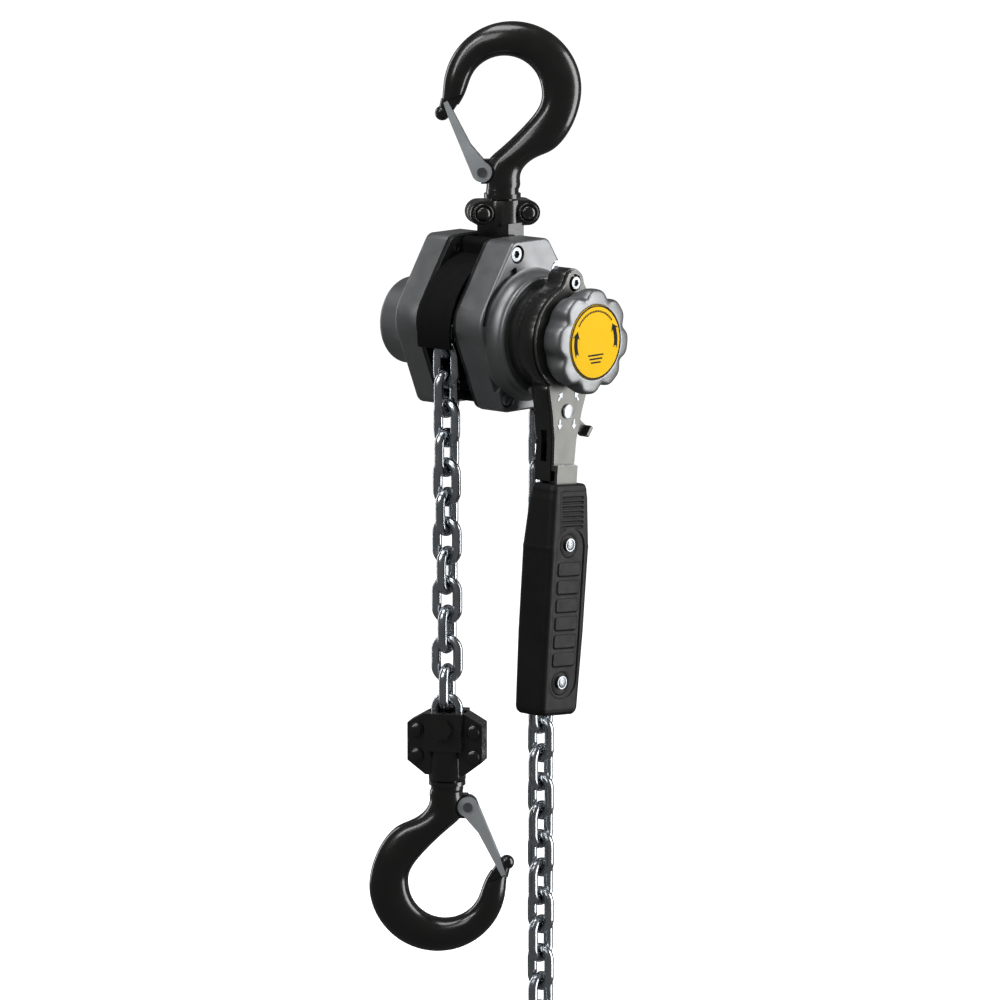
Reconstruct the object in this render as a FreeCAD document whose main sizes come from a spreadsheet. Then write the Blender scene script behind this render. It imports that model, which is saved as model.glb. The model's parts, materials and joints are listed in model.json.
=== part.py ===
import FreeCAD, Part
import math
import os
import Sketcher
from FreeCAD import Placement, Rotation, Vector

# Lever chain hoist, 1.5 t class.  Frame: origin on the drive shaft axis, half way between the
# side plates.  The shaft runs along Y with the hand wheel at -Y, +Z is up, the load chain hangs at -X.

doc = FreeCAD.newDocument("LeverHoist")

DIMENSIONS = {
    # frame
    "plate_gap": 31.0, "plate_thick": 3.5, "corner_top": 8.0, "corner_side": 25.0,
    "outline_top_x": 18.0, "outline_top_z": 66.5, "outline_side_x": 55.0, "outline_side_z": 11.0,
    "outline_foot_x": 28.0, "outline_foot_z": 53.0, "stay_radius": 3.5, "screw_radius": 2.5,
    "screw_head_radius": 5.0, "screw_head_height": 5.0, "screw_well_radius": 6.6, "fit_gap": 0.05,
    # covers
    "gear_cover_depth": 21.0, "gear_boss_radius": 31.0, "gear_boss_depth": 36.0, "cover_wall": 3.0,
    "brake_cover_depth": 24.0, "brake_ring_radius": 48.0, "brake_boss_radius": 42.0,
    "brake_boss_depth": 11.0, "brake_cavity_radius": 42.0, "dust_ring_radius": 36.0,
    # chain
    "chain_wire": 7.0, "link_pitch": 21.0, "link_half_width": 8.15, "link_length": 28.1,
    "strand_x": -40.75, "first_flat_z": -62.5, "slack_x": 58.0, "exit_slope": -30.0,
    "twist_step": 2.8, "sheave_hinge_radius": 40.75,
    "guide_radius": 53.0, "guide_thick": 1.5, "guide_foot_angle": 9.0,
    # sheave and gears
    "sheave_core_radius": 34.4, "sheave_groove_radius": 28.2, "sheave_flange_radius": 37.5,
    "journal_radius": 21.95, "bush_radius": 25.0, "gear_module": 1.05, "wheel_teeth": 36,
    "pinion_teeth": 12, "idler_angle": 10.0, "axle_radius": 2.5, "shaft_radius": 5.5,
    # brake
    "ratchet_radius": 28.0, "friction_radius": 25.0, "hub_radius": 11.0, "sleeve_radius": 12.9,
    "changeover_radius": 27.6, "pawl_pin_radius": 2.5, "pawl_pin_reach": 35.5,
    "pawl_thick": 5.0, "pawl_boss_radius": 4.4, "disc_thick": 2.4, "ratchet_thick": 5.8,
    "ratchet_teeth": 12, "flange_thick": 4.0, "stub_radius": 4.5,
    # hand wheel
    "wheel_radius": 37.0, "wheel_rear_radius": 31.5, "wheel_rear_y": -83.0, "wheel_front_y": -103.0,
    "wheel_lobes": 8, "scallop_radius": 9.0, "scallop_reach": 39.5, "scallop_phase": 15.5,
    "label_radius": 26.0, "wheel_seat_radius": 17.0, "wheel_seat_y": -76.2, "nut_radius": 9.0,
    "nut_thick": 4.6,
    # lever
    "lever_tilt": 5.0, "lever_head_radius": 38.0, "lever_lobe_z": 39.4, "lever_lobe_radius": 10.0,
    "lever_waist_radius": 12.0, "lobe_well_radius": 6.2,
    "lever_rear_y": -64.0, "lever_plate_y": -78.5, "lever_plate_thick": 2.5, "lever_wall": 2.5,
    "selector_z": -50.5, "grip_top_z": -101.0, "grip_foot_z": -263.0, "grip_y": -77.5,
    # hooks and their blocks
    "hook_thick": 20.0, "collar_radius": 13.0, "neck_radius": 8.8, "head_radius": 11.0,
    "hook_x": 17.0, "top_collar_z": 91.5, "foot_collar_z": -318.0, "latch_pin_radius": 2.5,
    "yoke_pin_x": 14.0, "yoke_pin_z": 56.5, "yoke_pin_radius": 4.5, "yoke_twist": -35.0,
    "block_twist": -60.0, "block_bolt_z": -279.0, "block_bolt_radius": 4.0, "hook_twist": -47.5,
}


def build_sheet():
    sheet = doc.addObject("Spreadsheet::Sheet", "Dims")
    for row, (alias, value) in enumerate(DIMENSIONS.items(), 1):
        sheet.set("A%d" % row, alias)
        sheet.set("B%d" % row, str(value))
        sheet.setAlias("B%d" % row, alias)
    doc.recompute()
    return sheet


SHEET = build_sheet()
NODES = {}


def d(alias):
    """The value of one driving dimension."""
    return float(SHEET.get(alias))


HALF_GAP = d("plate_gap") / 2
PLATE_FACE = HALF_GAP + d("plate_thick")
UP = Vector(0, 0, 1)
LINK_CHORD = d("link_length") - 2 * (d("link_length") - d("link_pitch"))
LEVER_PLACE = Placement(Vector(), Rotation(Vector(0, 1, 0), d("lever_tilt")))


# ---------------------------------------------------------------- helpers

def node(label, obj):
    """Register an object as a sub-part that is written to its own file."""
    obj.Label = label
    NODES[label] = obj
    return obj


def bind(obj, **sizes):
    """Set sizes: text is an expression on the sheet, a number is set as it is."""
    for prop, size in sizes.items():
        if isinstance(size, str):
            obj.setExpression(prop, size)
        else:
            setattr(obj, prop, size)
    return obj


def rod_y(radius, length, x, y, z):
    """A cylinder from (x, y, z) towards -Y."""
    obj = doc.addObject("Part::Cylinder", "Rod")
    obj.Placement = Placement(Vector(x, y, z), Rotation(Vector(1, 0, 0), 90))
    return bind(obj, Radius=radius, Height=length)


def rod_z(radius, length, x, y, z):
    """A cylinder from (x, y, z) towards +Z."""
    obj = doc.addObject("Part::Cylinder", "Post")
    obj.Placement = Placement(Vector(x, y, z), Rotation())
    return bind(obj, Radius=radius, Height=length)


def block(length, width, height, x, y, z):
    """A box with its lowest corner at (x, y, z)."""
    obj = doc.addObject("Part::Box", "Block")
    obj.Placement = Placement(Vector(x, y, z), Rotation())
    return bind(obj, Length=length, Width=width, Height=height)


def hexagon_y(radius, length, x, y, z):
    obj = doc.addObject("Part::Prism", "Hexagon")
    obj.Polygon = 6
    obj.Placement = Placement(Vector(x, y, z), Rotation(Vector(1, 0, 0), 90))
    return bind(obj, Circumradius=radius, Height=length)


def fuse(*parts):
    obj = doc.addObject("Part::MultiFuse", "Fuse")
    obj.Shapes = list(parts)
    return obj


def cut(base, *tools):
    obj = doc.addObject("Part::Cut", "Cut")
    obj.Base = base
    obj.Tool = tools[0] if len(tools) == 1 else fuse(*tools)
    return obj


def common(first, second):
    obj = doc.addObject("Part::MultiCommon", "Common")
    obj.Shapes = [first, second]
    return obj


def group(label, *parts):
    """Several separate solids that share one node."""
    obj = doc.addObject("Part::Compound", label)
    obj.Links = list(parts)
    return node(label, obj)


def feature(label, shape, place=None):
    obj = doc.addObject("Part::Feature", label)
    obj.Shape = shape
    if place:
        obj.Placement = place
    return obj


def ring_y(outer, inner, length, y):
    return cut(rod_y(outer, length, 0, y, 0), rod_y(inner, length, 0, y, 0))


# ---------------------------------------------------------------- sketches and bodies

def new_body(label):
    body = doc.addObject("PartDesign::Body", label)
    return node(label, body)


def sketch_at(body, y, role="XZ_Plane"):
    """An empty sketch on the body's XZ plane, moved to the given Y."""
    sketch = body.newObject("Sketcher::SketchObject", "Sketch")
    plane = next(f for f in body.Origin.OriginFeatures if f.Role == role)
    sketch.AttachmentSupport = [(plane, "")]
    sketch.MapMode = "FlatFace"
    sketch.AttachmentOffset = Placement(Vector(0, 0, -y), Rotation())
    return sketch


def add_circle(sketch, x, z, radius):
    """A circle whose radius is bound to the sheet when it is given as text."""
    start = 10.0 if isinstance(radius, str) else radius
    index = sketch.addGeometry(Part.Circle(Vector(x, z, 0), UP, start), False)
    bound = sketch.addConstraint(Sketcher.Constraint("Radius", index, start))
    if isinstance(radius, str):
        sketch.setExpression("Constraints[%d]" % bound, radius)


def add_outline(sketch, corners):
    """A closed outline through (x, z, corner radius) points, with tangent arcs at its corners."""
    count = len(corners)
    starts, ends, middles = [], [], []
    for i, (x, z, radius) in enumerate(corners):
        here = Vector(x, z, 0)
        back = (Vector(*corners[i - 1][:2], 0) - here).normalize()
        ahead = (Vector(*corners[(i + 1) % count][:2], 0) - here).normalize()
        half = back.getAngle(ahead) / 2
        reach = radius / math.tan(half) if radius else 0
        bisector = (back + ahead).normalize() if radius else Vector()
        starts.append(here + back * reach)
        ends.append(here + ahead * reach)
        middles.append(here + bisector * (radius / math.sin(half) - radius) if radius else here)
    for i in range(count):
        if corners[i][2]:
            sketch.addGeometry(Part.Arc(starts[i], middles[i], ends[i]), False)
        following = starts[(i + 1) % count]
        if (following - ends[i]).Length > 1e-6:
            sketch.addGeometry(Part.LineSegment(ends[i], following), False)


def pad(body, sketch, length):
    """Pad towards -Y."""
    made = body.newObject("PartDesign::Pad", "Pad")
    made.Profile = sketch
    return bind(made, Length=length)


def pocket(body, sketch, length):
    """Cut from the sketch towards +Y, and make sure that it really cut."""
    doc.recompute()
    before = body.Shape.Volume
    made = body.newObject("PartDesign::Pocket", "Pocket")
    made.Profile = sketch
    bind(made, Length=length)
    doc.recompute()
    if body.Shape.Volume > before - 0.01:
        raise RuntimeError("a pocket cut nothing in " + body.Label)
    return made


def pad_circle(body, radius, y, length, x=0.0, z=0.0):
    sketch = sketch_at(body, y)
    add_circle(sketch, x, z, radius)
    return pad(body, sketch, length)


def pocket_circle(body, radius, y, length, x=0.0, z=0.0):
    sketch = sketch_at(body, y)
    add_circle(sketch, x, z, radius)
    return pocket(body, sketch, length)


def fillet_outline(body, y, radius, reach):
    """Round the edges at one Y that lie further than reach from the shaft axis."""
    doc.recompute()
    base = body.Tip
    names = []
    for i, edge in enumerate(base.Shape.Edges, 1):
        box = edge.BoundBox
        flat = abs(box.YMin - y) < 1e-4 and abs(box.YMax - y) < 1e-4
        far = math.hypot(edge.CenterOfMass.x, edge.CenterOfMass.z) > reach
        if flat and far:
            names.append("Edge%d" % i)
    made = body.newObject("PartDesign::Fillet", "Fillet")
    made.Base = (base, names)
    made.Radius = radius
    return made


def frame_outline(inset=0.0):
    """The six-sided outline that the plates and covers share."""
    top_x, top_z = d("outline_top_x") - inset / 2, d("outline_top_z") - inset
    side_x, side_z = d("outline_side_x") - inset, d("outline_side_z")
    foot_x, foot_z = d("outline_foot_x") - inset / 2, -d("outline_foot_z") + inset
    small, large = d("corner_top"), d("corner_side")
    right = [(top_x, top_z, small), (side_x, side_z, large), (foot_x, foot_z, small)]
    left = [(-x, z, radius) for x, z, radius in reversed(right)]
    return right + left


# ---------------------------------------------------------------- frame

COVER_SCREWS = [(-14.0, 57.4), (27.0, 43.0), (24.0, -43.0), (-24.0, -43.0)]
STAYS = [(-3.0, 60.0), (-17.5, -46.0), (17.5, -46.0)]
GUIDE_PEG = (40.8, 12.7)
IDLER_REACH = d("gear_module") * (d("wheel_teeth") + d("pinion_teeth")) / 2
IDLERS = [(IDLER_REACH * math.cos(math.radians(a)), IDLER_REACH * math.sin(math.radians(a)))
          for a in (d("idler_angle"), d("idler_angle") + 180)]
PAWL_ANGLES = {"pawl_a": 150.0, "pawl_b": 30.0}


def pawl_pin(angle):
    reach = d("pawl_pin_reach")
    return reach * math.cos(math.radians(angle)), reach * math.sin(math.radians(angle))


def side_plate(label, y_high, pins):
    """One hardened side plate: pads towards -Y from y_high; pins are (x, z, radius) holes."""
    body = new_body(label)
    sketch = sketch_at(body, y_high)
    add_outline(sketch, frame_outline(0.6))
    pad(body, sketch, "Dims.plate_thick")
    y_low = y_high - d("plate_thick")
    pocket_circle(body, "Dims.bush_radius + Dims.fit_gap", y_low, "Dims.plate_thick")
    for x, z, radius in pins:
        pocket_circle(body, radius, y_low, "Dims.plate_thick", x, z)


def chain_guide():
    """A curved sheet outside the chain on the load side, hung on the top stay."""
    inner, outer, half = d("guide_radius"), d("guide_radius") + d("guide_thick"), HALF_GAP - 0.2
    start, stop = 180.0 + d("guide_foot_angle"), 93.0
    points = [(radius * math.cos(math.radians(a)), radius * math.sin(math.radians(a)))
              for radius in (inner, outer) for a in (start, (start + stop) / 2, stop)]
    ends = [Vector(x, half, z) for x, z in points]
    edges = [Part.Arc(*ends[:3]).toShape(), Part.LineSegment(ends[2], ends[5]).toShape(),
             Part.Arc(ends[5], ends[4], ends[3]).toShape(), Part.LineSegment(ends[3], ends[0]).toShape()]
    shell = Part.Face(Part.Wire(edges)).extrude(Vector(0, -2 * half, 0))
    stay_x, stay_z = STAYS[0]
    tab = Part.makeBox(11.0, 2 * half, stay_z - inner, Vector(stay_x - 5.5, -half, inner))
    eye = Part.makeCylinder(5.5, 2 * half, Vector(stay_x, half, stay_z), Vector(0, -1, 0))
    hole = Part.makeCylinder(d("stay_radius") + d("fit_gap"), 2 * half, Vector(stay_x, half, stay_z),
                             Vector(0, -1, 0))
    node("chain_guide", feature("chain_guide", shell.fuse([tab, eye]).cut(hole)))


def frame_parts():
    gap = " + Dims.fit_gap"
    shared = [(x, z, "Dims.screw_radius" + gap) for x, z in COVER_SCREWS]
    shared += [(x, z, "Dims.stay_radius" + gap) for x, z in STAYS]
    shared.append((d("yoke_pin_x"), d("yoke_pin_z"), "Dims.yoke_pin_radius" + gap))
    pawl_holes = [(*pawl_pin(angle), "Dims.pawl_pin_radius" + gap) for angle in PAWL_ANGLES.values()]
    side_plate("brake_side_plate", -HALF_GAP, shared + pawl_holes)
    side_plate("gear_side_plate", PLATE_FACE, shared)
    length = "Dims.plate_gap + 2 * Dims.plate_thick"
    group("frame_stays", *[rod_y("Dims.stay_radius", length, x, PLATE_FACE, z) for x, z in STAYS])
    node("yoke_pin", rod_y("Dims.yoke_pin_radius", length, d("yoke_pin_x"), PLATE_FACE,
                           d("yoke_pin_z")))
    bushes = [ring_y("Dims.bush_radius", "Dims.journal_radius + Dims.fit_gap",
                     "Dims.plate_thick - 0.2", y) for y in (PLATE_FACE - 0.1, -HALF_GAP - 0.1)]
    group("sheave_bushes", *bushes)
    inner = 4.2
    pegs = [rod_y(4.5, HALF_GAP - 0.1 - inner, GUIDE_PEG[0], y, GUIDE_PEG[1])
            for y in (HALF_GAP - 0.1, -inner)]
    group("slack_guide_pegs", *pegs)
    chain_guide()
    base = block(24, 2 * HALF_GAP - 0.4, 7, -12, 0.2 - HALF_GAP, -50)
    finger = block(16, 7, 12.4, -8, -3.5, -43.4)
    node("chain_stripper", fuse(base, finger))


# ---------------------------------------------------------------- covers

def screw_set(label, head_y, foot_y):
    """Socket-head cover screws: the head's open face is at head_y, the shank ends at foot_y."""
    screws = []
    towards = 1 if head_y > foot_y else -1
    tall = d("screw_head_height")
    under = head_y - towards * tall
    for x, z in COVER_SCREWS:
        head = rod_y("Dims.screw_head_radius", "Dims.screw_head_height", x, max(head_y, under), z)
        shank = rod_y("Dims.screw_radius", abs(under - foot_y) + 0.5, x,
                      max(foot_y, under + towards * 0.5), z)
        socket = hexagon_y(3.0, 2.6, x, max(head_y, head_y - towards * 2.6), z)
        screws.append(cut(fuse(head, shank), socket))
    return group(label, *screws)


def gear_cover():
    face = PLATE_FACE + d("gear_cover_depth")
    end = face + d("gear_boss_depth")
    body = new_body("gear_cover")
    sketch = sketch_at(body, face)
    add_outline(sketch, frame_outline())
    pad(body, sketch, "Dims.gear_cover_depth")
    fillet_outline(body, face, 2.0, 30)
    pad_circle(body, "Dims.gear_boss_radius", end, "Dims.gear_boss_depth + 1")
    fillet_outline(body, end, 4.0, -1)
    inner = d("gear_cover_depth") - d("cover_wall")
    pocket_circle(body, 28.0, PLATE_FACE, inner)
    for x, z in IDLERS:
        pocket_circle(body, 21.0, PLATE_FACE, inner, x, z)
        pocket_circle(body, "Dims.axle_radius + Dims.fit_gap", PLATE_FACE, inner + 1.6, x, z)
    pocket_circle(body, "Dims.gear_boss_radius - Dims.cover_wall - 0.5", PLATE_FACE,
                  "Dims.gear_cover_depth + Dims.gear_boss_depth - Dims.cover_wall")
    for x, z in COVER_SCREWS:
        pocket_circle(body, "Dims.screw_radius + 0.2", PLATE_FACE, "Dims.gear_cover_depth", x, z)
        pocket_circle(body, "Dims.screw_well_radius", face - 6.1, 6.2, x, z)
    screw_set("gear_cover_screws", face - 1, HALF_GAP + 0.3)


# stretches, in degrees, where a valley parts the brake cover's round face from its corner pads
VALLEYS = [(12, 44), (108, 168), (196, 228), (312, 344)]


def add_sector(sketch, inner, outer, start, stop):
    """A ring sector about the shaft axis between two angles."""
    def at(radius, angle):
        turn = math.radians(angle)
        return Vector(radius * math.cos(turn), radius * math.sin(turn), 0)

    middle = (start + stop) / 2
    sketch.addGeometry(Part.Arc(at(inner, start), at(inner, middle), at(inner, stop)), False)
    sketch.addGeometry(Part.LineSegment(at(inner, stop), at(outer, stop)), False)
    sketch.addGeometry(Part.Arc(at(outer, stop), at(outer, middle), at(outer, start)), False)
    sketch.addGeometry(Part.LineSegment(at(outer, start), at(inner, start)), False)


def brake_cover():
    face = -PLATE_FACE - d("brake_cover_depth")
    body = new_body("brake_cover")
    sketch = sketch_at(body, -PLATE_FACE)
    add_outline(sketch, frame_outline())
    pad(body, sketch, "Dims.brake_cover_depth")
    fillet_outline(body, face, 2.0, 30)
    boss = body.newObject("Sketcher::SketchObject", "BossProfile")
    plane = next(f for f in body.Origin.OriginFeatures if f.Role == "XY_Plane")
    boss.AttachmentSupport = [(plane, "")]
    boss.MapMode = "FlatFace"
    ring, neck = d("brake_ring_radius"), d("brake_boss_radius")
    end = face - d("brake_boss_depth")
    start = face + 2
    lip = neck - 3.5
    boss.addGeometry(Part.LineSegment(Vector(0, start, 0), Vector(ring - 1, start, 0)), False)
    boss.addGeometry(Part.LineSegment(Vector(ring - 1, start, 0), Vector(ring - 1, face, 0)), False)
    boss.addGeometry(Part.Arc(Vector(ring - 1, face, 0), Vector(neck + 1.2, face - 3.2, 0),
                              Vector(neck, face - 9, 0)), False)
    boss.addGeometry(Part.Arc(Vector(neck, face - 9, 0), Vector(neck - 1.2, face - 10.6, 0),
                              Vector(lip, end, 0)), False)
    boss.addGeometry(Part.LineSegment(Vector(lip, end, 0), Vector(0, end, 0)), False)
    boss.addGeometry(Part.LineSegment(Vector(0, end, 0), Vector(0, start, 0)), False)
    turned = body.newObject("PartDesign::Revolution", "Boss")
    turned.Profile = boss
    turned.ReferenceAxis = (boss, ["V_Axis"])
    turned.Angle = 360
    for start_angle, stop_angle in VALLEYS:
        valley = sketch_at(body, face)
        add_sector(valley, ring - 1, ring + 3.5, start_angle, stop_angle)
        pocket(body, valley, 3.5)
    pocket_circle(body, "Dims.brake_cavity_radius", -PLATE_FACE - 20, 20)
    pocket_circle(body, "Dims.brake_boss_radius - 9", end + 4, 20)
    pocket_circle(body, "Dims.sleeve_radius + 3", end, 20)
    for x, z in COVER_SCREWS:
        pocket_circle(body, "Dims.screw_radius + 0.2", face, "Dims.brake_cover_depth", x, z)
        pocket_circle(body, "Dims.screw_well_radius", face, 6.1, x, z)
    for angle in PAWL_ANGLES.values():
        x, z = pawl_pin(angle)
        pocket_circle(body, "Dims.pawl_pin_radius + Dims.fit_gap", -PLATE_FACE - 21.6, 10, x, z)
    screw_set("brake_cover_screws", face + 1, -HALF_GAP - 0.3)
    dust = ring_y("Dims.dust_ring_radius", "Dims.dust_ring_radius - 6", 9.5, end - 0.05)
    node("brake_dust_ring", dust)


# ---------------------------------------------------------------- gears and sheave

def involute(angle):
    return math.tan(angle) - angle


def gear_shape(teeth, thick, tooth_at, bore):
    """A spur gear about Y from Y=0 towards -Y, with one tooth centred at tooth_at degrees."""
    module = d("gear_module")
    pressure = math.radians(25)
    pitch = module * teeth / 2
    base = pitch * math.cos(pressure)
    tip, root = pitch + 0.95 * module, pitch - 1.25 * module
    half_pitch = math.pi / (2 * teeth) - 0.10 / pitch
    flank = []
    for step in range(5):
        radius = max(base, root) + (tip - max(base, root)) * step / 4
        turn = half_pitch + involute(pressure) - involute(math.acos(base / radius))
        flank.append((radius, turn))
    profile = [(root, flank[0][1])] + flank
    points = []
    for tooth in range(teeth):
        centre = math.radians(tooth_at + 360.0 * tooth / teeth)
        for radius, turn in profile:
            points.append((radius, centre - turn))
        for radius, turn in reversed(profile):
            points.append((radius, centre + turn))
    corners = [Vector(r * math.cos(a), 0, r * math.sin(a)) for r, a in points]
    face = Part.Face(Part.makePolygon(corners + corners[:1]))
    solid = face.extrude(Vector(0, -thick, 0))
    if bore:
        solid = solid.cut(Part.makeCylinder(bore, thick, Vector(), Vector(0, -1, 0)))
    return solid


def sheave_parts():
    body = new_body("load_sheave")
    groove, land = 4.2, 11.9
    rim = HALF_GAP - 0.3
    profile = [(d("shaft_radius") + 0.5, 29.6), (12.0, 29.6), (12.0, 18.7), ("journal", 18.7),
               ("journal", rim), ("flange", rim), ("flange", land + 0.2), ("core", land + 0.2),
               ("core", groove), ("groove", groove)]
    radii = {"journal": d("journal_radius"), "flange": d("sheave_flange_radius"),
             "core": d("sheave_core_radius"), "groove": d("sheave_groove_radius")}
    half = [(radii.get(r, r), y) for r, y in profile]
    rear = [(r, -y) for r, y in reversed(half[3:])]
    points = half + rear + [(d("shaft_radius") + 0.5, -18.7)]
    sketch = body.newObject("Sketcher::SketchObject", "Profile")
    plane = next(f for f in body.Origin.OriginFeatures if f.Role == "XY_Plane")
    sketch.AttachmentSupport = [(plane, "")]
    sketch.MapMode = "FlatFace"
    add_outline(sketch, [(r, y, 0) for r, y in points])
    turned = body.newObject("PartDesign::Revolution", "Turned")
    turned.Profile = sketch
    turned.ReferenceAxis = (sketch, ["V_Axis"])
    turned.Angle = 360
    doc.recompute()
    before = body.Shape.Volume
    seat = sketch_at(body, -land)
    flat, top = d("sheave_core_radius") - 1.3, d("sheave_core_radius") + 1
    turn = math.radians(chain_route()["seat_angle"])
    corners = []
    for along, out in ((-16, flat), (16, flat), (16, top), (-16, top)):
        corners.append((out * math.cos(turn) - along * math.sin(turn),
                        out * math.sin(turn) + along * math.cos(turn), 0))
    add_outline(seat, corners)
    cutter = body.newObject("PartDesign::Pocket", "Seat")
    cutter.Profile = seat
    cutter.Length = 2 * land
    pattern = body.newObject("PartDesign::PolarPattern", "Seats")
    pattern.Originals = [cutter]
    pattern.Axis = (seat, ["N_Axis"])
    pattern.Angle = 360
    pattern.Occurrences = 6
    body.Tip = pattern
    doc.recompute()
    if body.Shape.Volume > before - 1:
        raise RuntimeError("the link seats cut nothing")
    load_gear = gear_shape(int(d("wheel_teeth")), 8.0, d("idler_angle") + 5, 12.0 + d("fit_gap"))
    node("load_gear", feature("load_gear", load_gear, Placement(Vector(0, 29, 0), Rotation())))


def idler_parts():
    for label, (x, z), angle in zip(("idler_gear_a", "idler_gear_b"), IDLERS,
                                    (d("idler_angle"), d("idler_angle") + 180)):
        bore = d("axle_radius") + d("fit_gap")
        wheel = gear_shape(int(d("wheel_teeth")), 6.0, angle + 180 + 5, bore)
        pinion = gear_shape(int(d("pinion_teeth")), 9.0, angle + 180, bore)
        pinion.translate(Vector(0, -6.0, 0))
        shape = wheel.fuse(pinion)
        node(label, feature(label, shape, Placement(Vector(x, 36, z), Rotation())))
    start = PLATE_FACE + d("gear_cover_depth") - d("cover_wall") + 1.5
    group("idler_axles", *[rod_y("Dims.axle_radius", start - PLATE_FACE - 0.05, x, start, z)
                           for x, z in IDLERS])


# ---------------------------------------------------------------- drive shaft and brake

def toothed_disc(count, tip, root, thick, bore, lean):
    """A disc about Y with saw teeth (lean 1) or straight teeth (lean 0)."""
    points = []
    pitch = 2 * math.pi / count
    for tooth in range(count):
        start = tooth * pitch
        if lean:
            polar = [(root, start), (tip, start), (tip, start + 0.12 * pitch)]
        else:
            polar = [(root, start), (tip, start + 0.08 * pitch), (tip, start + 0.42 * pitch),
                     (root, start + 0.5 * pitch)]
        points += [Vector(r * math.cos(a), 0, r * math.sin(a)) for r, a in polar]
    face = Part.Face(Part.makePolygon(points + points[:1]))
    solid = face.extrude(Vector(0, -thick, 0))
    return solid.cut(Part.makeCylinder(bore, thick, Vector(), Vector(0, -1, 0)))


def drive_parts():
    gap = d("fit_gap")
    bore = "Dims.shaft_radius + Dims.fit_gap"
    shaft = rod_y("Dims.shaft_radius", 130.8, 0, 29.8, 0)
    pinion = feature("Pinion", gear_shape(int(d("pinion_teeth")), 6.6, d("idler_angle"), 0),
                     Placement(Vector(0, 36.4, 0), Rotation()))
    stub = rod_y("Dims.stub_radius", 14.0, 0, 50.0, 0)
    node("drive_shaft", fuse(shaft, pinion, stub))
    carrier = cut(rod_y("Dims.gear_boss_radius - Dims.cover_wall - 0.55", 6.0, 0, 48.0, 0),
                  rod_y("Dims.stub_radius + 0.05", 6.0, 0, 48.0, 0))
    node("bearing_carrier", carrier)
    flange = rod_y("Dims.friction_radius + 0.5", "Dims.flange_thick", 0, -20.5, 0)
    hub = rod_y("Dims.hub_radius", 14.8, 0, -20.5, 0)
    node("brake_hub", cut(fuse(flange, hub), rod_y(bore, 16, 0, -20, 0)))
    rings = [ring_y("Dims.friction_radius", "Dims.hub_radius + Dims.fit_gap", "Dims.disc_thick", y)
             for y in (-24.6, -33.0)]
    group("friction_discs", *rings)
    ratchet = toothed_disc(int(d("ratchet_teeth")), d("ratchet_radius"), d("ratchet_radius") - 4,
                           d("ratchet_thick"),
                           d("hub_radius") + gap, 1)
    node("ratchet_disc", feature("ratchet_disc", ratchet, Placement(Vector(0, -27.1, 0), Rotation())))
    press = rod_y("Dims.friction_radius + 0.5", "Dims.flange_thick", 0, -35.5, 0)
    sleeve = rod_y("Dims.sleeve_radius", 31.5, 0, -35.5, 0)
    changeover = feature("Changeover", toothed_disc(12, d("changeover_radius"),
                         d("changeover_radius") - 5, 9.2, 5.0, 0),
                         Placement(Vector(0, -66.8, 0), Rotation()))
    node("pressure_flange", cut(fuse(press, sleeve, changeover), rod_y(bore, 42, 0, -35, 0)))


def pawl_parts():
    """Two brake pawls and their pins; the noses point the same way round the ratchet."""
    thick = d("pawl_thick")
    for label, angle in PAWL_ANGLES.items():
        x, z = pawl_pin(angle)
        inward = d("ratchet_radius") + 0.5 - d("pawl_pin_reach")
        boss = d("pawl_boss_radius")
        shape = Part.makeCylinder(boss, thick, Vector(), Vector(0, -1, 0))
        outline = [(boss, 0), (0.6, 14.2), (inward + 1.2, 14.6), (inward + 0.8, 12.6), (-boss, 0)]
        corners = [Vector(out, 0, along) for out, along in outline]
        arm = Part.Face(Part.makePolygon(corners + corners[:1])).extrude(Vector(0, -thick, 0))
        shape = shape.fuse(arm)
        hole = Part.makeCylinder(d("pawl_pin_radius") + 0.1, thick, Vector(), Vector(0, -1, 0))
        place = Placement(Vector(x, -27.5, z), Rotation(Vector(0, 1, 0), -angle))
        node(label, feature(label, shape.cut(hole), place))
    pins = [rod_y("Dims.pawl_pin_radius", 24.0, x, -16.5, z)
            for x, z in (pawl_pin(angle) for angle in PAWL_ANGLES.values())]
    group("pawl_pins", *pins)


# ---------------------------------------------------------------- hand wheel

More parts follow.
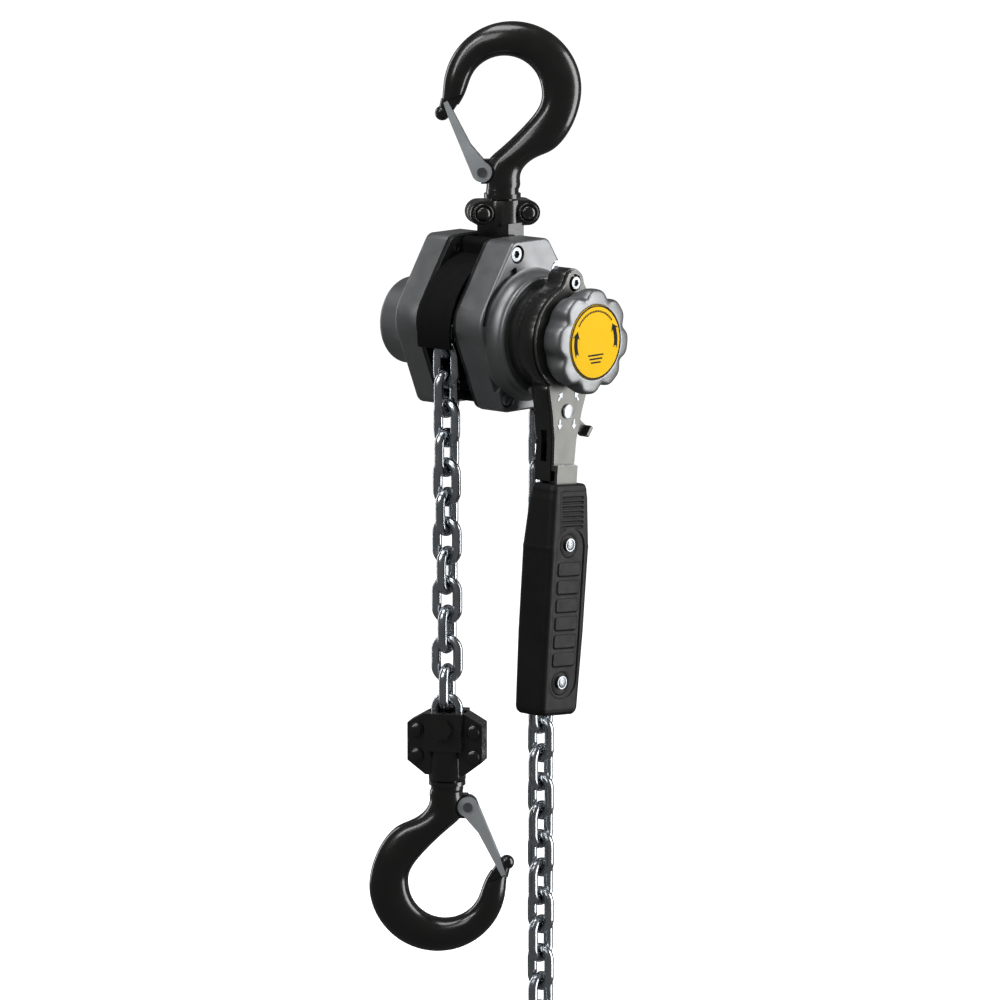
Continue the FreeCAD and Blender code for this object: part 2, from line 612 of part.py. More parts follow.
def hand_wheel():
    body = new_body("hand_wheel")
    sketch = body.newObject("Sketcher::SketchObject", "Profile")
    plane = next(f for f in body.Origin.OriginFeatures if f.Role == "XY_Plane")
    sketch.AttachmentSupport = [(plane, "")]
    sketch.MapMode = "FlatFace"
    rear, front = d("wheel_rear_y"), d("wheel_front_y")
    outer = d("wheel_radius")
    bore = d("shaft_radius") + d("fit_gap")
    nut_well = d("nut_radius") + 3.0
    seat_radius, seat_y = d("wheel_seat_radius"), d("wheel_seat_y")
    profile = [(bore, seat_y, 0), (seat_radius, seat_y, 0), (seat_radius, rear, 0),
               (d("wheel_rear_radius"), rear, 1.5),
               (outer, rear - 7, 3), (outer, front + 3.5, 2), (outer - 3, front + 0.8, 1.5),
               (outer - 6, front, 0), (d("label_radius") + 0.3, front, 0),
               (d("label_radius") + 0.3, front + 0.9, 0), (nut_well, front + 0.9, 0),
               (nut_well, front + 7, 0), (bore, front + 7, 0)]
    add_outline(sketch, profile)
    turned = body.newObject("PartDesign::Revolution", "Turned")
    turned.Profile = sketch
    turned.ReferenceAxis = (sketch, ["V_Axis"])
    turned.Angle = 360
    scallop = sketch_at(body, front - 1)
    phase = math.radians(d("scallop_phase"))
    add_circle(scallop, d("scallop_reach") * math.cos(phase), d("scallop_reach") * math.sin(phase),
               "Dims.scallop_radius")
    cutter = pocket(body, scallop, 22)
    pattern = body.newObject("PartDesign::PolarPattern", "Scallops")
    pattern.Originals = [cutter]
    pattern.Axis = (scallop, ["N_Axis"])
    pattern.Angle = 360
    pattern.Occurrences = int(d("wheel_lobes"))
    body.Tip = pattern
    label = rod_y("Dims.label_radius", 1.2, 0, front + 0.8, 0)
    node("wheel_label", label)
    nut = cut(hexagon_y("Dims.nut_radius", "Dims.nut_thick", 0, front + 6.9, 0),
              rod_y("Dims.shaft_radius + 0.05", 6, 0, front + 7.5, 0))
    node("wheel_nut", nut)


# ---------------------------------------------------------------- lever

CHANNEL_FOOT, STEP_FOOT, TAIL_FOOT = -99.5, -92.0, -132.0
PLATE_STEP, TAIL_STEP, TAIL_HALF_WIDTH = 3.5, 4.0, 10.4


def rectangle(half_width, high, low):
    return [(half_width, high, 0), (half_width, low, 0), (-half_width, low, 0), (-half_width, high, 0)]


def lever_outline(inset, foot_z):
    """Half widths of the lever arm below the head, as (x, z, corner radius)."""
    right = [(20.5 - inset, -34.5, 6.0), (16.0 - inset, -50.0, 8.0), (12.0 - inset, -70.0, 15.0),
             (11.0 - inset, foot_z, 0.0)]
    left = [(-x, z, r) for x, z, r in reversed(right)]
    top = [(-12.0, -20.0, 0.0), (12.0, -20.0, 0.0)]
    return right + left + top


def add_lobe_web(sketch, inset):
    """The waist that joins the lever's head to its lobe, with a concave arc on each side."""
    head, lobe = d("lever_head_radius") - inset, d("lever_lobe_radius") - inset
    waist, lobe_z = d("lever_waist_radius") + inset, d("lever_lobe_z")
    z = ((head + waist) ** 2 - (lobe + waist) ** 2 + lobe_z ** 2) / (2 * lobe_z)
    centre = Vector(math.sqrt((head + waist) ** 2 - z ** 2), z, 0)
    on_head = centre * (head / (head + waist))
    on_lobe = Vector(0, lobe_z, 0) + (centre - Vector(0, lobe_z, 0)) * (lobe / (lobe + waist))
    middle = centre + ((on_head - centre) + (on_lobe - centre)).normalize() * waist

    def mirrored(point):
        return Vector(-point.x, point.y, 0)

    sketch.addGeometry(Part.Arc(on_head, middle, on_lobe), False)
    sketch.addGeometry(Part.LineSegment(on_lobe, mirrored(on_lobe)), False)
    sketch.addGeometry(Part.Arc(mirrored(on_lobe), mirrored(middle), mirrored(on_head)), False)
    sketch.addGeometry(Part.LineSegment(mirrored(on_head), on_head), False)


def lever_parts():
    plate_y, rear = d("lever_plate_y"), d("lever_rear_y")
    thick = d("lever_plate_thick")
    plate = new_body("lever_plate")
    pad_circle(plate, "Dims.lever_head_radius - 1.2", plate_y, "Dims.lever_plate_thick")
    pad_circle(plate, "Dims.lever_lobe_radius - 1.2", plate_y, "Dims.lever_plate_thick",
               0, d("lever_lobe_z"))
    web = sketch_at(plate, plate_y)
    add_lobe_web(web, 1.2)
    pad(plate, web, "Dims.lever_plate_thick")
    arm = sketch_at(plate, plate_y)
    add_outline(arm, lever_outline(0.6, STEP_FOOT))
    pad(plate, arm, "Dims.lever_plate_thick")
    step = sketch_at(plate, plate_y)
    add_outline(step, rectangle(TAIL_HALF_WIDTH, STEP_FOOT + 4, STEP_FOOT))
    pad(plate, step, thick + PLATE_STEP)
    tail = sketch_at(plate, plate_y - PLATE_STEP)
    add_outline(tail, rectangle(TAIL_HALF_WIDTH, STEP_FOOT + 4, TAIL_FOOT))
    pad(plate, tail, "Dims.lever_plate_thick")
    pocket_circle(plate, 18.0, plate_y - thick, thick)
    pocket_circle(plate, "Dims.lobe_well_radius", plate_y - thick, thick, 0, d("lever_lobe_z"))
    pocket_circle(plate, 4.05, plate_y - thick, thick, 0, d("selector_z"))
    plate.Placement = LEVER_PLACE

    shell = new_body("lever_shell")
    depth = rear - plate_y - 0.1
    pad_circle(shell, "Dims.lever_head_radius", rear, depth)
    pad_circle(shell, "Dims.lever_lobe_radius", rear, depth, 0, d("lever_lobe_z"))
    web = sketch_at(shell, rear)
    add_lobe_web(web, 0.0)
    pad(shell, web, depth)
    channel = sketch_at(shell, rear)
    add_outline(channel, lever_outline(0.0, CHANNEL_FOOT))
    pad(shell, channel, depth)
    tail = sketch_at(shell, rear - TAIL_STEP)
    add_outline(tail, rectangle(TAIL_HALF_WIDTH - 0.4, CHANNEL_FOOT + 2, TAIL_FOOT))
    pad(shell, tail, "Dims.lever_wall")
    wall = d("lever_wall")
    front = plate_y + 0.1
    inner = depth - wall
    pocket_circle(shell, "Dims.lever_head_radius - Dims.lever_wall", front, inner)
    slot = sketch_at(shell, front)
    add_outline(slot, lever_outline(wall, CHANNEL_FOOT + 4))
    pocket(shell, slot, inner)
    notch = sketch_at(shell, front)
    add_outline(notch, [(8, -46, 0), (30, -46, 0), (30, -75, 0), (8, -75, 0)])
    pocket(shell, notch, inner)
    window = sketch_at(shell, 8.0, "YZ_Plane")
    add_outline(window, [(front + 4, -64, 0), (rear - 5, -64, 0), (rear - 5, -86, 0), (front + 4, -86, 0)])
    pocket(shell, window, 10.0)
    pocket_circle(shell, "Dims.sleeve_radius + Dims.fit_gap", rear - wall, wall)
    pocket_circle(shell, 3.05, front, depth, 0, d("lever_lobe_z"))
    pocket_circle(shell, 4.05, front, depth, 0, d("selector_z"))
    shell.Placement = LEVER_PLACE

    bolt = fuse(rod_y(3.0, 15.0, 0, rear, d("lever_lobe_z")),
                rod_y(4.3, 3.6, 0, front - 0.05, d("lever_lobe_z")))
    top_bolt = cut(bolt, hexagon_y(2.6, 2.2, 0, front - 1.6, d("lever_lobe_z")))
    rest = rod_y(2.6, 2.9, -17.0, rear + 3.0, -37.0)
    made = group("lever_fasteners", top_bolt, rest)
    made.Placement = LEVER_PLACE


def grip():
    """The moulded grip: lofted rounded rectangles with a ribbed and padded front face."""
    sections = [(-101.0, 35.0, 22.0), (-112.0, 38.5, 25.0), (-145.0, 42.0, 28.5),
                (-205.0, 41.0, 28.5), (-259.0, 38.5, 27.5), (-263.0, 36.0, 25.0)]
    wires = []
    for z, width, deep in sections:
        corner = 5.0
        hx, hy = width / 2, deep / 2
        y = d("grip_y")
        edges = []
        spots = [(hx, hy), (-hx, hy), (-hx, -hy), (hx, -hy)]
        for i, (px, py) in enumerate(spots):
            nx, ny = spots[(i + 1) % 4]
            ux, uy = (nx > px) - (nx < px), (ny > py) - (ny < py)
            start = Vector(px + ux * corner, y + py + uy * corner, z)
            stop = Vector(nx - ux * corner, y + ny - uy * corner, z)
            edges.append(Part.LineSegment(start, stop).toShape())
            fx, fy = spots[(i + 2) % 4]
            vx, vy = (fx > nx) - (fx < nx), (fy > ny) - (fy < ny)
            after = Vector(nx + vx * corner, y + ny + vy * corner, z)
            bulge = corner * (1 - math.sqrt(0.5))
            middle = Vector(nx - (ux - vx) * bulge, y + ny - (uy - vy) * bulge, z)
            edges.append(Part.Arc(stop, middle, after).toShape())
        wires.append(Part.Wire(edges))
    core = feature("GripCore", Part.makeLoft(wires, True, True))
    face_y = d("grip_y") - 14.25
    cutters = [block(31.0, 3.0, 108.0, -15.5, face_y - 1.6, -246.0),
               block(21.0, 2.7, 60.0, -10.5, d("lever_plate_y") - 3.6 - 2.5, -150.2),
               block(20.3, 2.7, 60.0, -10.15, d("lever_rear_y") - 6.6, -150.2)]
    body = cut(core, *cutters)
    pads = [block(22.0, 2.0, 9.5, -11.0, face_y + 0.2, -164.5 - 12.7 * i) for i in range(6)]
    ribs = [block(26.0, 3.0, 1.8, -13.0, face_y - 0.3, -112.0 - 3.4 * i) for i in range(7)]
    holes = [rod_y(2.6, 10.0, -1.5, face_y + 8.0, z) for z in (-142.8, -239.5)]
    made = node("lever_grip", cut(fuse(body, *pads, *ribs), *holes))
    made.Placement = LEVER_PLACE
    screws = []
    for z in (-142.8, -239.5):
        shank = rod_y(2.5, 9.0, -1.5, face_y + 7.5, z)
        head = rod_y(4.6, 2.4, -1.5, face_y + 1.3, z)
        slot = fuse(block(6.0, 1.4, 1.2, -4.5, face_y - 1.3, z - 0.6),
                    block(1.2, 1.4, 6.0, -2.1, face_y - 1.3, z - 3.0))
        screws.append(cut(fuse(shank, head), slot))
    made = group("grip_screws", *screws)
    made.Placement = LEVER_PLACE


def selector_parts():
    """The up, neutral and down selector: thumb tab, pin and double-nosed pawl."""
    z0 = d("selector_z")
    front = d("lever_plate_y") - d("lever_plate_thick")
    pin = fuse(rod_y(4.0, 14.5, 0, d("lever_plate_y") + 11.3, z0), rod_y(5.2, 1.4, 0, front - 0.1, z0))
    made = node("selector_pin", pin)
    made.Placement = LEVER_PLACE
    hub = rod_y(7.0, 3.0, 0, -74.6, z0)
    length = 26.0
    arm = block(length, 3.0, 8.0, 0, -77.6, -4.0)
    arm.Placement = Placement(Vector(0, -77.6, z0), Rotation(Vector(0, 1, 0), 32)).multiply(
        Placement(Vector(0, 0, -4.0), Rotation()))
    thumb = block(3.0, 9.0, 8.0, 0, 0, 0)
    thumb.Placement = Placement(Vector(0, -81.0, z0), Rotation(Vector(0, 1, 0), 32)).multiply(
        Placement(Vector(length - 0.5, -2.0, -4.0), Rotation()))
    made = node("selector_lever", cut(fuse(hub, arm, thumb), rod_y(4.05, 4.0, 0, -74.0, z0)))
    made.Placement = LEVER_PLACE
    nose = 22.3
    left = [(-4.0, 0.0), (-nose * math.sin(math.radians(26)), nose * math.cos(math.radians(26))),
            (-nose * math.sin(math.radians(18)), nose * math.cos(math.radians(18))), (0.0, 9.0)]
    outline = left + [(-x, z) for x, z in reversed(left[:3])]
    corners = [Vector(x, 0, z) for x, z in outline]
    shape = Part.Face(Part.makePolygon(corners + corners[:1])).extrude(Vector(0, -4.5, 0))
    shape = shape.fuse(Part.makeCylinder(6.5, 4.5, Vector(), Vector(0, -1, 0)))
    shape = shape.cut(Part.makeCylinder(4.05, 4.5, Vector(), Vector(0, -1, 0)))
    place = LEVER_PLACE.multiply(Placement(Vector(0, -69.5, z0), Rotation()))
    node("selector_pawl", feature("selector_pawl", shape, place))


# ---------------------------------------------------------------- chain

def link_shape():
    """One welded link: long axis Z, wide axis X, centred on the origin."""
    wire, half = d("chain_wire") / 2, d("link_half_width")
    straight = d("link_length") / 2 - half
    cutter = Part.makeBox(60, 60, 60, Vector(-30, -30, -60 + straight))
    full = Part.makeTorus(half, wire, Vector(0, 0, straight), Vector(0, 1, 0))
    top = full.cut(cutter)
    foot = top.mirror(Vector(), UP)
    sides = [Part.makeCylinder(wire, 2 * straight, Vector(x, 0, -straight), UP) for x in (-half, half)]
    return top.fuse([foot] + sides).removeSplitter()


def chain_route():
    """Hinge points of the chain in XZ, from the load strand over the sheave to the slack strand."""
    radius, flat, upright = d("sheave_hinge_radius"), d("link_length"), LINK_CHORD
    x = d("strand_x")
    first = d("first_flat_z") + flat / 2
    points = [(x, first), (x, first + upright), (x, first + upright + flat)]
    angle = math.atan2(points[2][1], x) % (2 * math.pi)
    reach = math.hypot(*points[2])
    cosine = (radius ** 2 + reach ** 2 - upright ** 2) / (2 * radius * reach)
    angle -= math.acos(cosine)
    points.append((radius * math.cos(angle), radius * math.sin(angle)))
    seats = []
    for chord in (flat, upright, flat, upright):
        turn = 2 * math.asin(chord / 2 / radius)
        seats.append(math.degrees(angle - turn / 2))
        angle -= turn
        points.append((radius * math.cos(angle), radius * math.sin(angle)))
    slope = math.radians(d("exit_slope"))
    px, pz = points[-1]
    points.append((px + flat * math.cos(slope), pz + flat * math.sin(slope)))
    drop_x = d("slack_x") - points[-1][0]
    points.append((d("slack_x"), points[-1][1] - math.sqrt(upright ** 2 - drop_x ** 2)))
    return {"points": points, "seat_angle": seats[0]}


def placed_link(shape, start, stop, flat, twist=0.0):
    """A link between two hinge points of the XZ plane; a flat link is wide along Y.

    The lean turns the link over, so the twist about the strand is counted backwards.
    """
    middle = Vector((start[0] + stop[0]) / 2, 0, (start[1] + stop[1]) / 2)
    lean = math.degrees(math.atan2(stop[0] - start[0], stop[1] - start[1]))
    tilt = Rotation(Vector(0, 1, 0), lean)
    turn = Rotation(UP, (90 if flat else 0) - twist)
    copy = shape.copy()
    copy.Placement = Placement(middle, tilt.multiply(turn))
    return copy


def strand(shape, x, top, count, twist_step=0.0):
    """A hanging strand that starts with a flat link whose upper hinge is at top."""
    links = []
    z = top
    for i in range(count):
        flat = i % 2 == 0
        chord = d("link_length") if flat else LINK_CHORD
        links.append(placed_link(shape, (x, z), (x, z - chord), flat, twist_step * i))
        z -= chord
    return links, z


def chain_parts():
    link = link_shape()
    route = chain_route()["points"]
    over = [placed_link(link, route[i], route[i + 1], i % 2 == 1) for i in range(len(route) - 1)]
    node("sheave_chain", feature("sheave_chain", Part.makeCompound(over)))
    load, _ = strand(link, d("strand_x"), route[0][1], 11, d("twist_step"))
    node("load_chain", feature("load_chain", Part.makeCompound(load)))
    slack, foot = strand(link, d("slack_x"), route[-1][1], 25)
    node("slack_chain", feature("slack_chain", Part.makeCompound(slack)))
    ring = doc.addObject("Part::Torus", "StopRing")
    bind(ring, Radius1=11.0, Radius2=3.2)
    ring.Placement = Placement(Vector(d("slack_x"), 0, foot + d("chain_wire") / 2 + 3.2 - 11.0 + 0.05),
                               Rotation(Vector(1, 0, 0), 90))
    node("chain_stop_ring", ring)


# ---------------------------------------------------------------- hooks

BOWL_CENTRE, BOWL_RADIUS = (-1.5, 73.8), 26.1
BACK_CENTRE, BACK_RADIUS = (-7.0, 75.7), 48.5
LATCH_PIN = (14.5, 18.5)
LATCH_TIP = (38.6, 65.3)
LATCH_REACH = math.hypot(LATCH_TIP[0] - LATCH_PIN[0], LATCH_TIP[1] - LATCH_PIN[1]) + 3.0
LATCH_LEAN = math.degrees(math.atan2(LATCH_TIP[0] - LATCH_PIN[0], LATCH_TIP[1] - LATCH_PIN[1]))


def bowl_section(angle):
    """Inner and outer point of the hook on one ray from the bowl's centre."""
    turn = math.radians(angle)
    ray = (math.cos(turn), math.sin(turn))
    inner = (BOWL_CENTRE[0] + BOWL_RADIUS * ray[0], BOWL_CENTRE[1] + BOWL_RADIUS * ray[1])
    dx, dz = BOWL_CENTRE[0] - BACK_CENTRE[0], BOWL_CENTRE[1] - BACK_CENTRE[1]
    along = dx * ray[0] + dz * ray[1]
    reach = -along + math.sqrt(along ** 2 - dx ** 2 - dz ** 2 + BACK_RADIUS ** 2)
    outer = (BOWL_CENTRE[0] + reach * ray[0], BOWL_CENTRE[1] + reach * ray[1])
    return inner, outer


def hook_sections():
    """(inner, outer, thickness) of the forging from the shank round to the tip."""
    thick = d("hook_thick")
    stations = [((11.6, 6.0), (-11.6, 6.0), 23.2), ((11.8, 15.0), (-12.4, 13.0), 23.5),
                ((10.5, 25.0), (-14.6, 20.5), 23.0), ((3.0, 33.2), (-23.0, 27.8), 22.0),
                ((-8.0, 43.2), (-33.5, 32.5), 21.0), ((-18.5, 54.2), (-43.0, 41.0), thick)]
    for angle in (200, 176, 152, 128, 104, 80, 56, 34, 14):
        inner, outer = bowl_section(angle)
        slim = 1.0 if angle > 60 else 0.86
        stations.append((inner, outer, thick * slim))
    stations += [((26.6, 72.6), (41.9, 73.6), thick * 0.78), ((30.6, 65.6), (43.2, 67.4), 12.5)]
    return stations


def oval_wire(inner, outer, thick):
    """A closed smooth section: fuller on the inside than an ellipse."""
    a, b = Vector(inner[0], 0, inner[1]), Vector(outer[0], 0, outer[1])
    middle, half = (a + b) * 0.5, (b - a) * 0.5
    points = []
    for step in range(12):
        turn = 2 * math.pi * step / 12
        along, side = math.cos(turn), math.sin(turn)
        bulge = 1.0 - 0.10 * along
        points.append(middle + half * along + Vector(0, thick / 2 * side * bulge, 0))
    curve = Part.BSplineCurve()
    curve.interpolate(points, PeriodicFlag=True)
    return Part.Wire([curve.toShape()])


def hook_shape():
    """The forged hook: u is X (towards the opening), v is Z (away from the collar)."""
    forging = Part.makeLoft([oval_wire(*station) for station in hook_sections()], True, False)
    collar = Part.makeCylinder(d("collar_radius"), 3.0, Vector(0, 0, 0), UP)
    shank = Part.makeCone(d("collar_radius") - 1.4, 11.4, 4.5, Vector(0, 0, 2.5), UP)
    neck = Part.makeCylinder(d("neck_radius"), 10.0, Vector(0, 0, -9.5), UP)
    head = Part.makeCylinder(d("head_radius"), 6.0, Vector(0, 0, -14.0), UP)
    tip = Part.makeSphere(5.3, Vector(42.2, 0, 59.6))
    link = Part.makeCone(6.2, 4.4, 9.5, Vector(37.4, 0, 67.6), Vector(3.6, 0, -8.2))
    ear = Part.makeCylinder(7.0, 9.0, Vector(LATCH_PIN[0], 4.5, LATCH_PIN[1]), Vector(0, -1, 0))
    web = Part.makeBox(14, 9.0, 17, Vector(1.0, -4.5, 10.0))
    shape = forging.fuse([collar, shank, neck, head, tip, link, ear, web])
    hole = Part.makeCylinder(d("latch_pin_radius") + d("fit_gap"), 30,
                             Vector(LATCH_PIN[0], 15, LATCH_PIN[1]), Vector(0, -1, 0))
    shape = shape.cut(hole)
    # flats beside the tip, where the latch's fork comes to rest, and beside the ear
    for side in (-1, 1):
        centre = Vector(LATCH_PIN[0], side * 7.7 + 3.0, LATCH_PIN[1])
        flat = Part.makeCylinder(LATCH_REACH + 1.0, 6.0, centre, Vector(0, -1, 0))
        flat = flat.cut(Part.makeCylinder(LATCH_REACH - 20.0, 6.0, centre, Vector(0, -1, 0)))
        flat = flat.common(Part.makeBox(40, 30, 60, Vector(LATCH_PIN[0], -15, LATCH_PIN[1] + 10)))
        shape = shape.cut(flat)
        relief = Part.makeCylinder(9.0, 8.0, Vector(LATCH_PIN[0], side * 8.6 + 4, LATCH_PIN[1]),
                                   Vector(0, -1, 0))
        shape = shape.cut(relief)
    return shape


def latch_shape():
    """Pressed latch: two cheeks round the pin, a bridge on the outer side and a forked end."""
    length = LATCH_REACH
    cheeks = []
    for y in (6.5, -5.0):
        disc = Part.makeCylinder(7.2, 1.5, Vector(0, y, 0), Vector(0, -1, 0))
        corners = [Vector(-6.0, y, 2.5), Vector(-1.9, y, 20), Vector(-1.6, y, length),
                   Vector(1.6, y, length), Vector(3.4, y, length - 12), Vector(7.1, y, 0)]
        arm = Part.Face(Part.makePolygon(corners + corners[:1])).extrude(Vector(0, -1.5, 0))
        cheeks.append(disc.fuse(arm))
    corners = [Vector(7.1, 0, 1), Vector(3.45, 0, length - 12), Vector(2.1, 0, length - 12),
               Vector(5.6, 0, 1)]
    bridge = Part.Face(Part.makePolygon(corners + corners[:1])).extrude(Vector(0, -13.0, 0))
    bridge.translate(Vector(0, 6.5, 0))
    room = Part.makeCylinder(7.4, 9.8, Vector(0, 4.9, 0), Vector(0, -1, 0))
    shape = cheeks[0].fuse([cheeks[1], bridge.cut(room)])
    bore = Part.makeCylinder(d("latch_pin_radius") + d("fit_gap"), 30, Vector(0, 15, 0),
                             Vector(0, -1, 0))
    return shape.cut(bore)


def spring_shape():
    """A torsion spring beside the latch's near cheek, with one leg along the latch."""
    wire, radius = 0.7, 4.4
    rings = []
    for turn in range(3):
        y = -7.35 - 1.3 * turn
        rings.append(Part.makeTorus(radius, wire, Vector(0, y, 0), Vector(0, 1, 0)))
    leg = Part.makeCylinder(wire, 20.0, Vector(radius, -7.35, 0), Vector(-0.12, 0, 1))
    return rings[0].fuse(rings[1:] + [leg])


def hook_parts(prefix, place):
    latch_place = place.multiply(Placement(Vector(LATCH_PIN[0], 0, LATCH_PIN[1]),
                                           Rotation(Vector(0, 1, 0), LATCH_LEAN)))
    node(prefix + "_hook", feature(prefix + "_hook", hook_shape(), place))
    node(prefix + "_latch", feature(prefix + "_latch", latch_shape(), latch_place))
    node(prefix + "_latch_spring", feature(prefix + "_latch_spring", spring_shape(), latch_place))
    pin = Part.makeCylinder(d("latch_pin_radius"), 18.0, Vector(0, 7.2, 0), Vector(0, -1, 0))
    heads = [Part.makeCylinder(3.4, 1.0, Vector(0, y, 0), Vector(0, -1, 0)) for y in (7.7, -10.8)]
    node(prefix + "_latch_pin", feature(prefix + "_latch_pin", pin.fuse(heads), latch_place))


# ---------------------------------------------------------------- hook blocks

def polygon_prism(points, y_high, length):
    corners = [Vector(x, y_high, z) for x, z in points]
    solid = Part.Face(Part.makePolygon(corners + corners[:1])).extrude(Vector(0, -length, 0))
    return feature("Prism", solid)


def swivel_room(z_neck_low, z_neck_high, z_head_low, z_head_high):
    """The space in which a hook's neck and head turn."""
    neck = rod_z("Dims.neck_radius + 0.3", z_neck_high - z_neck_low, 0, 0, z_neck_low)
    head = rod_z("Dims.head_radius + 0.3", z_head_high - z_head_low, 0, 0, z_head_low)
    return [neck, head]


def yoke_parts():
    """The top block: two riveted halves round the hook's head, with a lug between the plates."""
    place = Placement(Vector(d("hook_x"), 0, 0), Rotation(UP, d("yoke_twist")))
    low, high = 72.5, d("top_collar_z") - 1.3
    mid = (low + high) / 2
    lobe = 16.2
    lobes = [rod_y((high - low) / 2, 20, x, 10, mid) for x in (-lobe, lobe)]
    bar = block(2 * lobe, 20, high - low, -lobe, -10, low)
    barrel = rod_z(13.4, high - low, 0, 0, low)
    body = fuse(bar, barrel, *lobes)
    body.Placement = place
    lug_x, lug_z, lug_r = d("yoke_pin_x"), d("yoke_pin_z"), 7.0
    wide = HALF_GAP - 0.5
    lug = fuse(rod_y(lug_r, 2 * wide, lug_x, wide, lug_z),
               block(16.0, 2 * wide, low - lug_z + 2, lug_x - lug_r, -wide, lug_z))
    whole = fuse(body, lug)
    rooms = fuse(*swivel_room(high - 9.5, high + 1, high - 12.9, high - 5.9))
    rooms.Placement = place
    pin = rod_y("Dims.yoke_pin_radius + Dims.fit_gap", 2 * wide + 2, lug_x, wide + 1, lug_z)
    rivet_holes = fuse(*[rod_y(3.05, 30, x, 15, mid) for x in (-lobe, lobe)])
    rivet_holes.Placement = place
    hollow = cut(whole, rooms, pin, rivet_holes)
    for label, side in (("yoke_front", -1), ("yoke_rear", 1)):
        half = block(200, 100, 200, -100, 0.05 if side > 0 else -100.05, 0)
        half.Placement = place.multiply(half.Placement)
        node(label, common(hollow, half))
    rivets = []
    for x in (-lobe, lobe):
        rivets.append(fuse(rod_y(3.0, 22.0, x, 11.0, mid), rod_y(5.0, 2.0, x, 12.1, mid),
                           rod_y(5.0, 2.0, x, -10.1, mid)))
    made = group("yoke_rivets", *rivets)
    made.Placement = place


def bottom_block_parts():
    """The load block: two halves riveted round the hook's head, bolted through the last link."""
    place = Placement(Vector(d("strand_x"), 0, 0), Rotation(UP, d("block_twist")))
    top, foot = -268.0, d("foot_collar_z") + 1.3
    wing = [(-27, -276), (-15, -269), (15, -269), (27, -276), (27, -303), (14, -313), (-14, -313),
            (-27, -303)]
    plate = polygon_prism(wing, 8.5, 17.0)
    pad_front = block(26.5, 29.0, 27.0, -13.25, -14.5, -295.0)
    barrel = rod_z(13.2, top - 2 - foot, 0, 0, foot)
    crown = block(22.0, 17.0, 4.0, -11.0, -8.5, -272.0)
    whole = fuse(plate, pad_front, barrel, crown)
    slot = block(26.5, 8.6, 40.0, -13.25, -4.3, -293.0)
    notch = block(11.0, 18.5, 6.0, -5.5, -9.25, -271.5)
    bolt_hole = rod_y("Dims.block_bolt_radius + Dims.fit_gap", 40, 0, 20, d("block_bolt_z"))
    rivet_spots = [(x, z) for x in (-20.5, 20.5) for z in (-281.0, -299.0)]
    rivet_holes = [rod_y(3.05, 40, x, 20, z) for x, z in rivet_spots]
    rooms = swivel_room(foot - 1, foot + 9.5, foot + 5.9, foot + 12.9)
    hollow = cut(whole, slot, notch, bolt_hole, *rivet_holes, *rooms)
    for label, side in (("bottom_block_front", -1), ("bottom_block_rear", 1)):
        half = block(200, 100, 200, -100, 0.05 if side > 0 else -100.05, -400)
        made = node(label, common(hollow, half))
        made.Placement = place
    rivets = []
    for x, z in rivet_spots:
        rivets.append(fuse(rod_y(3.0, 18.0, x, 9.0, z), rod_y(5.2, 2.2, x, 10.75, z),
                           rod_y(5.2, 2.2, x, -8.55, z)))
    made = group("bottom_block_rivets", *rivets)
    made.Placement = place
    z = d("block_bolt_z")
    bolt = fuse(rod_y("Dims.block_bolt_radius", 36.0, 0, 20.0, z), hexagon_y(7.5, 5.0, 0, -14.55, z))
    nut = cut(hexagon_y(7.5, 5.0, 0, 19.55, z), rod_y("Dims.block_bolt_radius + 0.02", 6, 0, 20, z))
    made = group("bottom_block_bolt", bolt, nut)
    made.Placement = place


# ---------------------------------------------------------------- assembly

def check_and_export():
    doc.recompute()
    for obj in doc.Objects:
        if "Invalid" in obj.State or "Error" in obj.State:
            raise RuntimeError("failed object: %s %s" % (obj.Label, obj.State))
    os.makedirs("parts", exist_ok=True)
    for label, obj in NODES.items():
        shape = obj.Shape
        if shape.isNull() or not shape.isValid() or shape.Volume <= 0:
            raise RuntimeError("bad shape: " + label)
        shape.exportStep("parts/%s.step" % label)
        print("%-22s solids %d volume %.0f" % (label, len(shape.Solids), shape.Volume))
    print(len(NODES), "nodes")


frame_parts()
gear_cover()
brake_cover()
sheave_parts()
idler_parts()
drive_parts()
pawl_parts()
hand_wheel()
lever_parts()
grip()
selector_parts()
chain_parts()
top_place = Placement(Vector(d("hook_x"), 0, d("top_collar_z")), Rotation(UP, 180 + d("hook_twist")))
foot_place = Placement(Vector(d("strand_x"), 0, d("foot_collar_z")),
                       Rotation(UP, d("hook_twist")).multiply(Rotation(Vector(1, 0, 0), 180)))
hook_parts("top", top_place)
hook_parts("bottom", foot_place)
yoke_parts()
bottom_block_parts()
check_and_export()
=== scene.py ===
import json
import math

import bmesh
import bpy
import numpy
from mathutils import Matrix, Vector


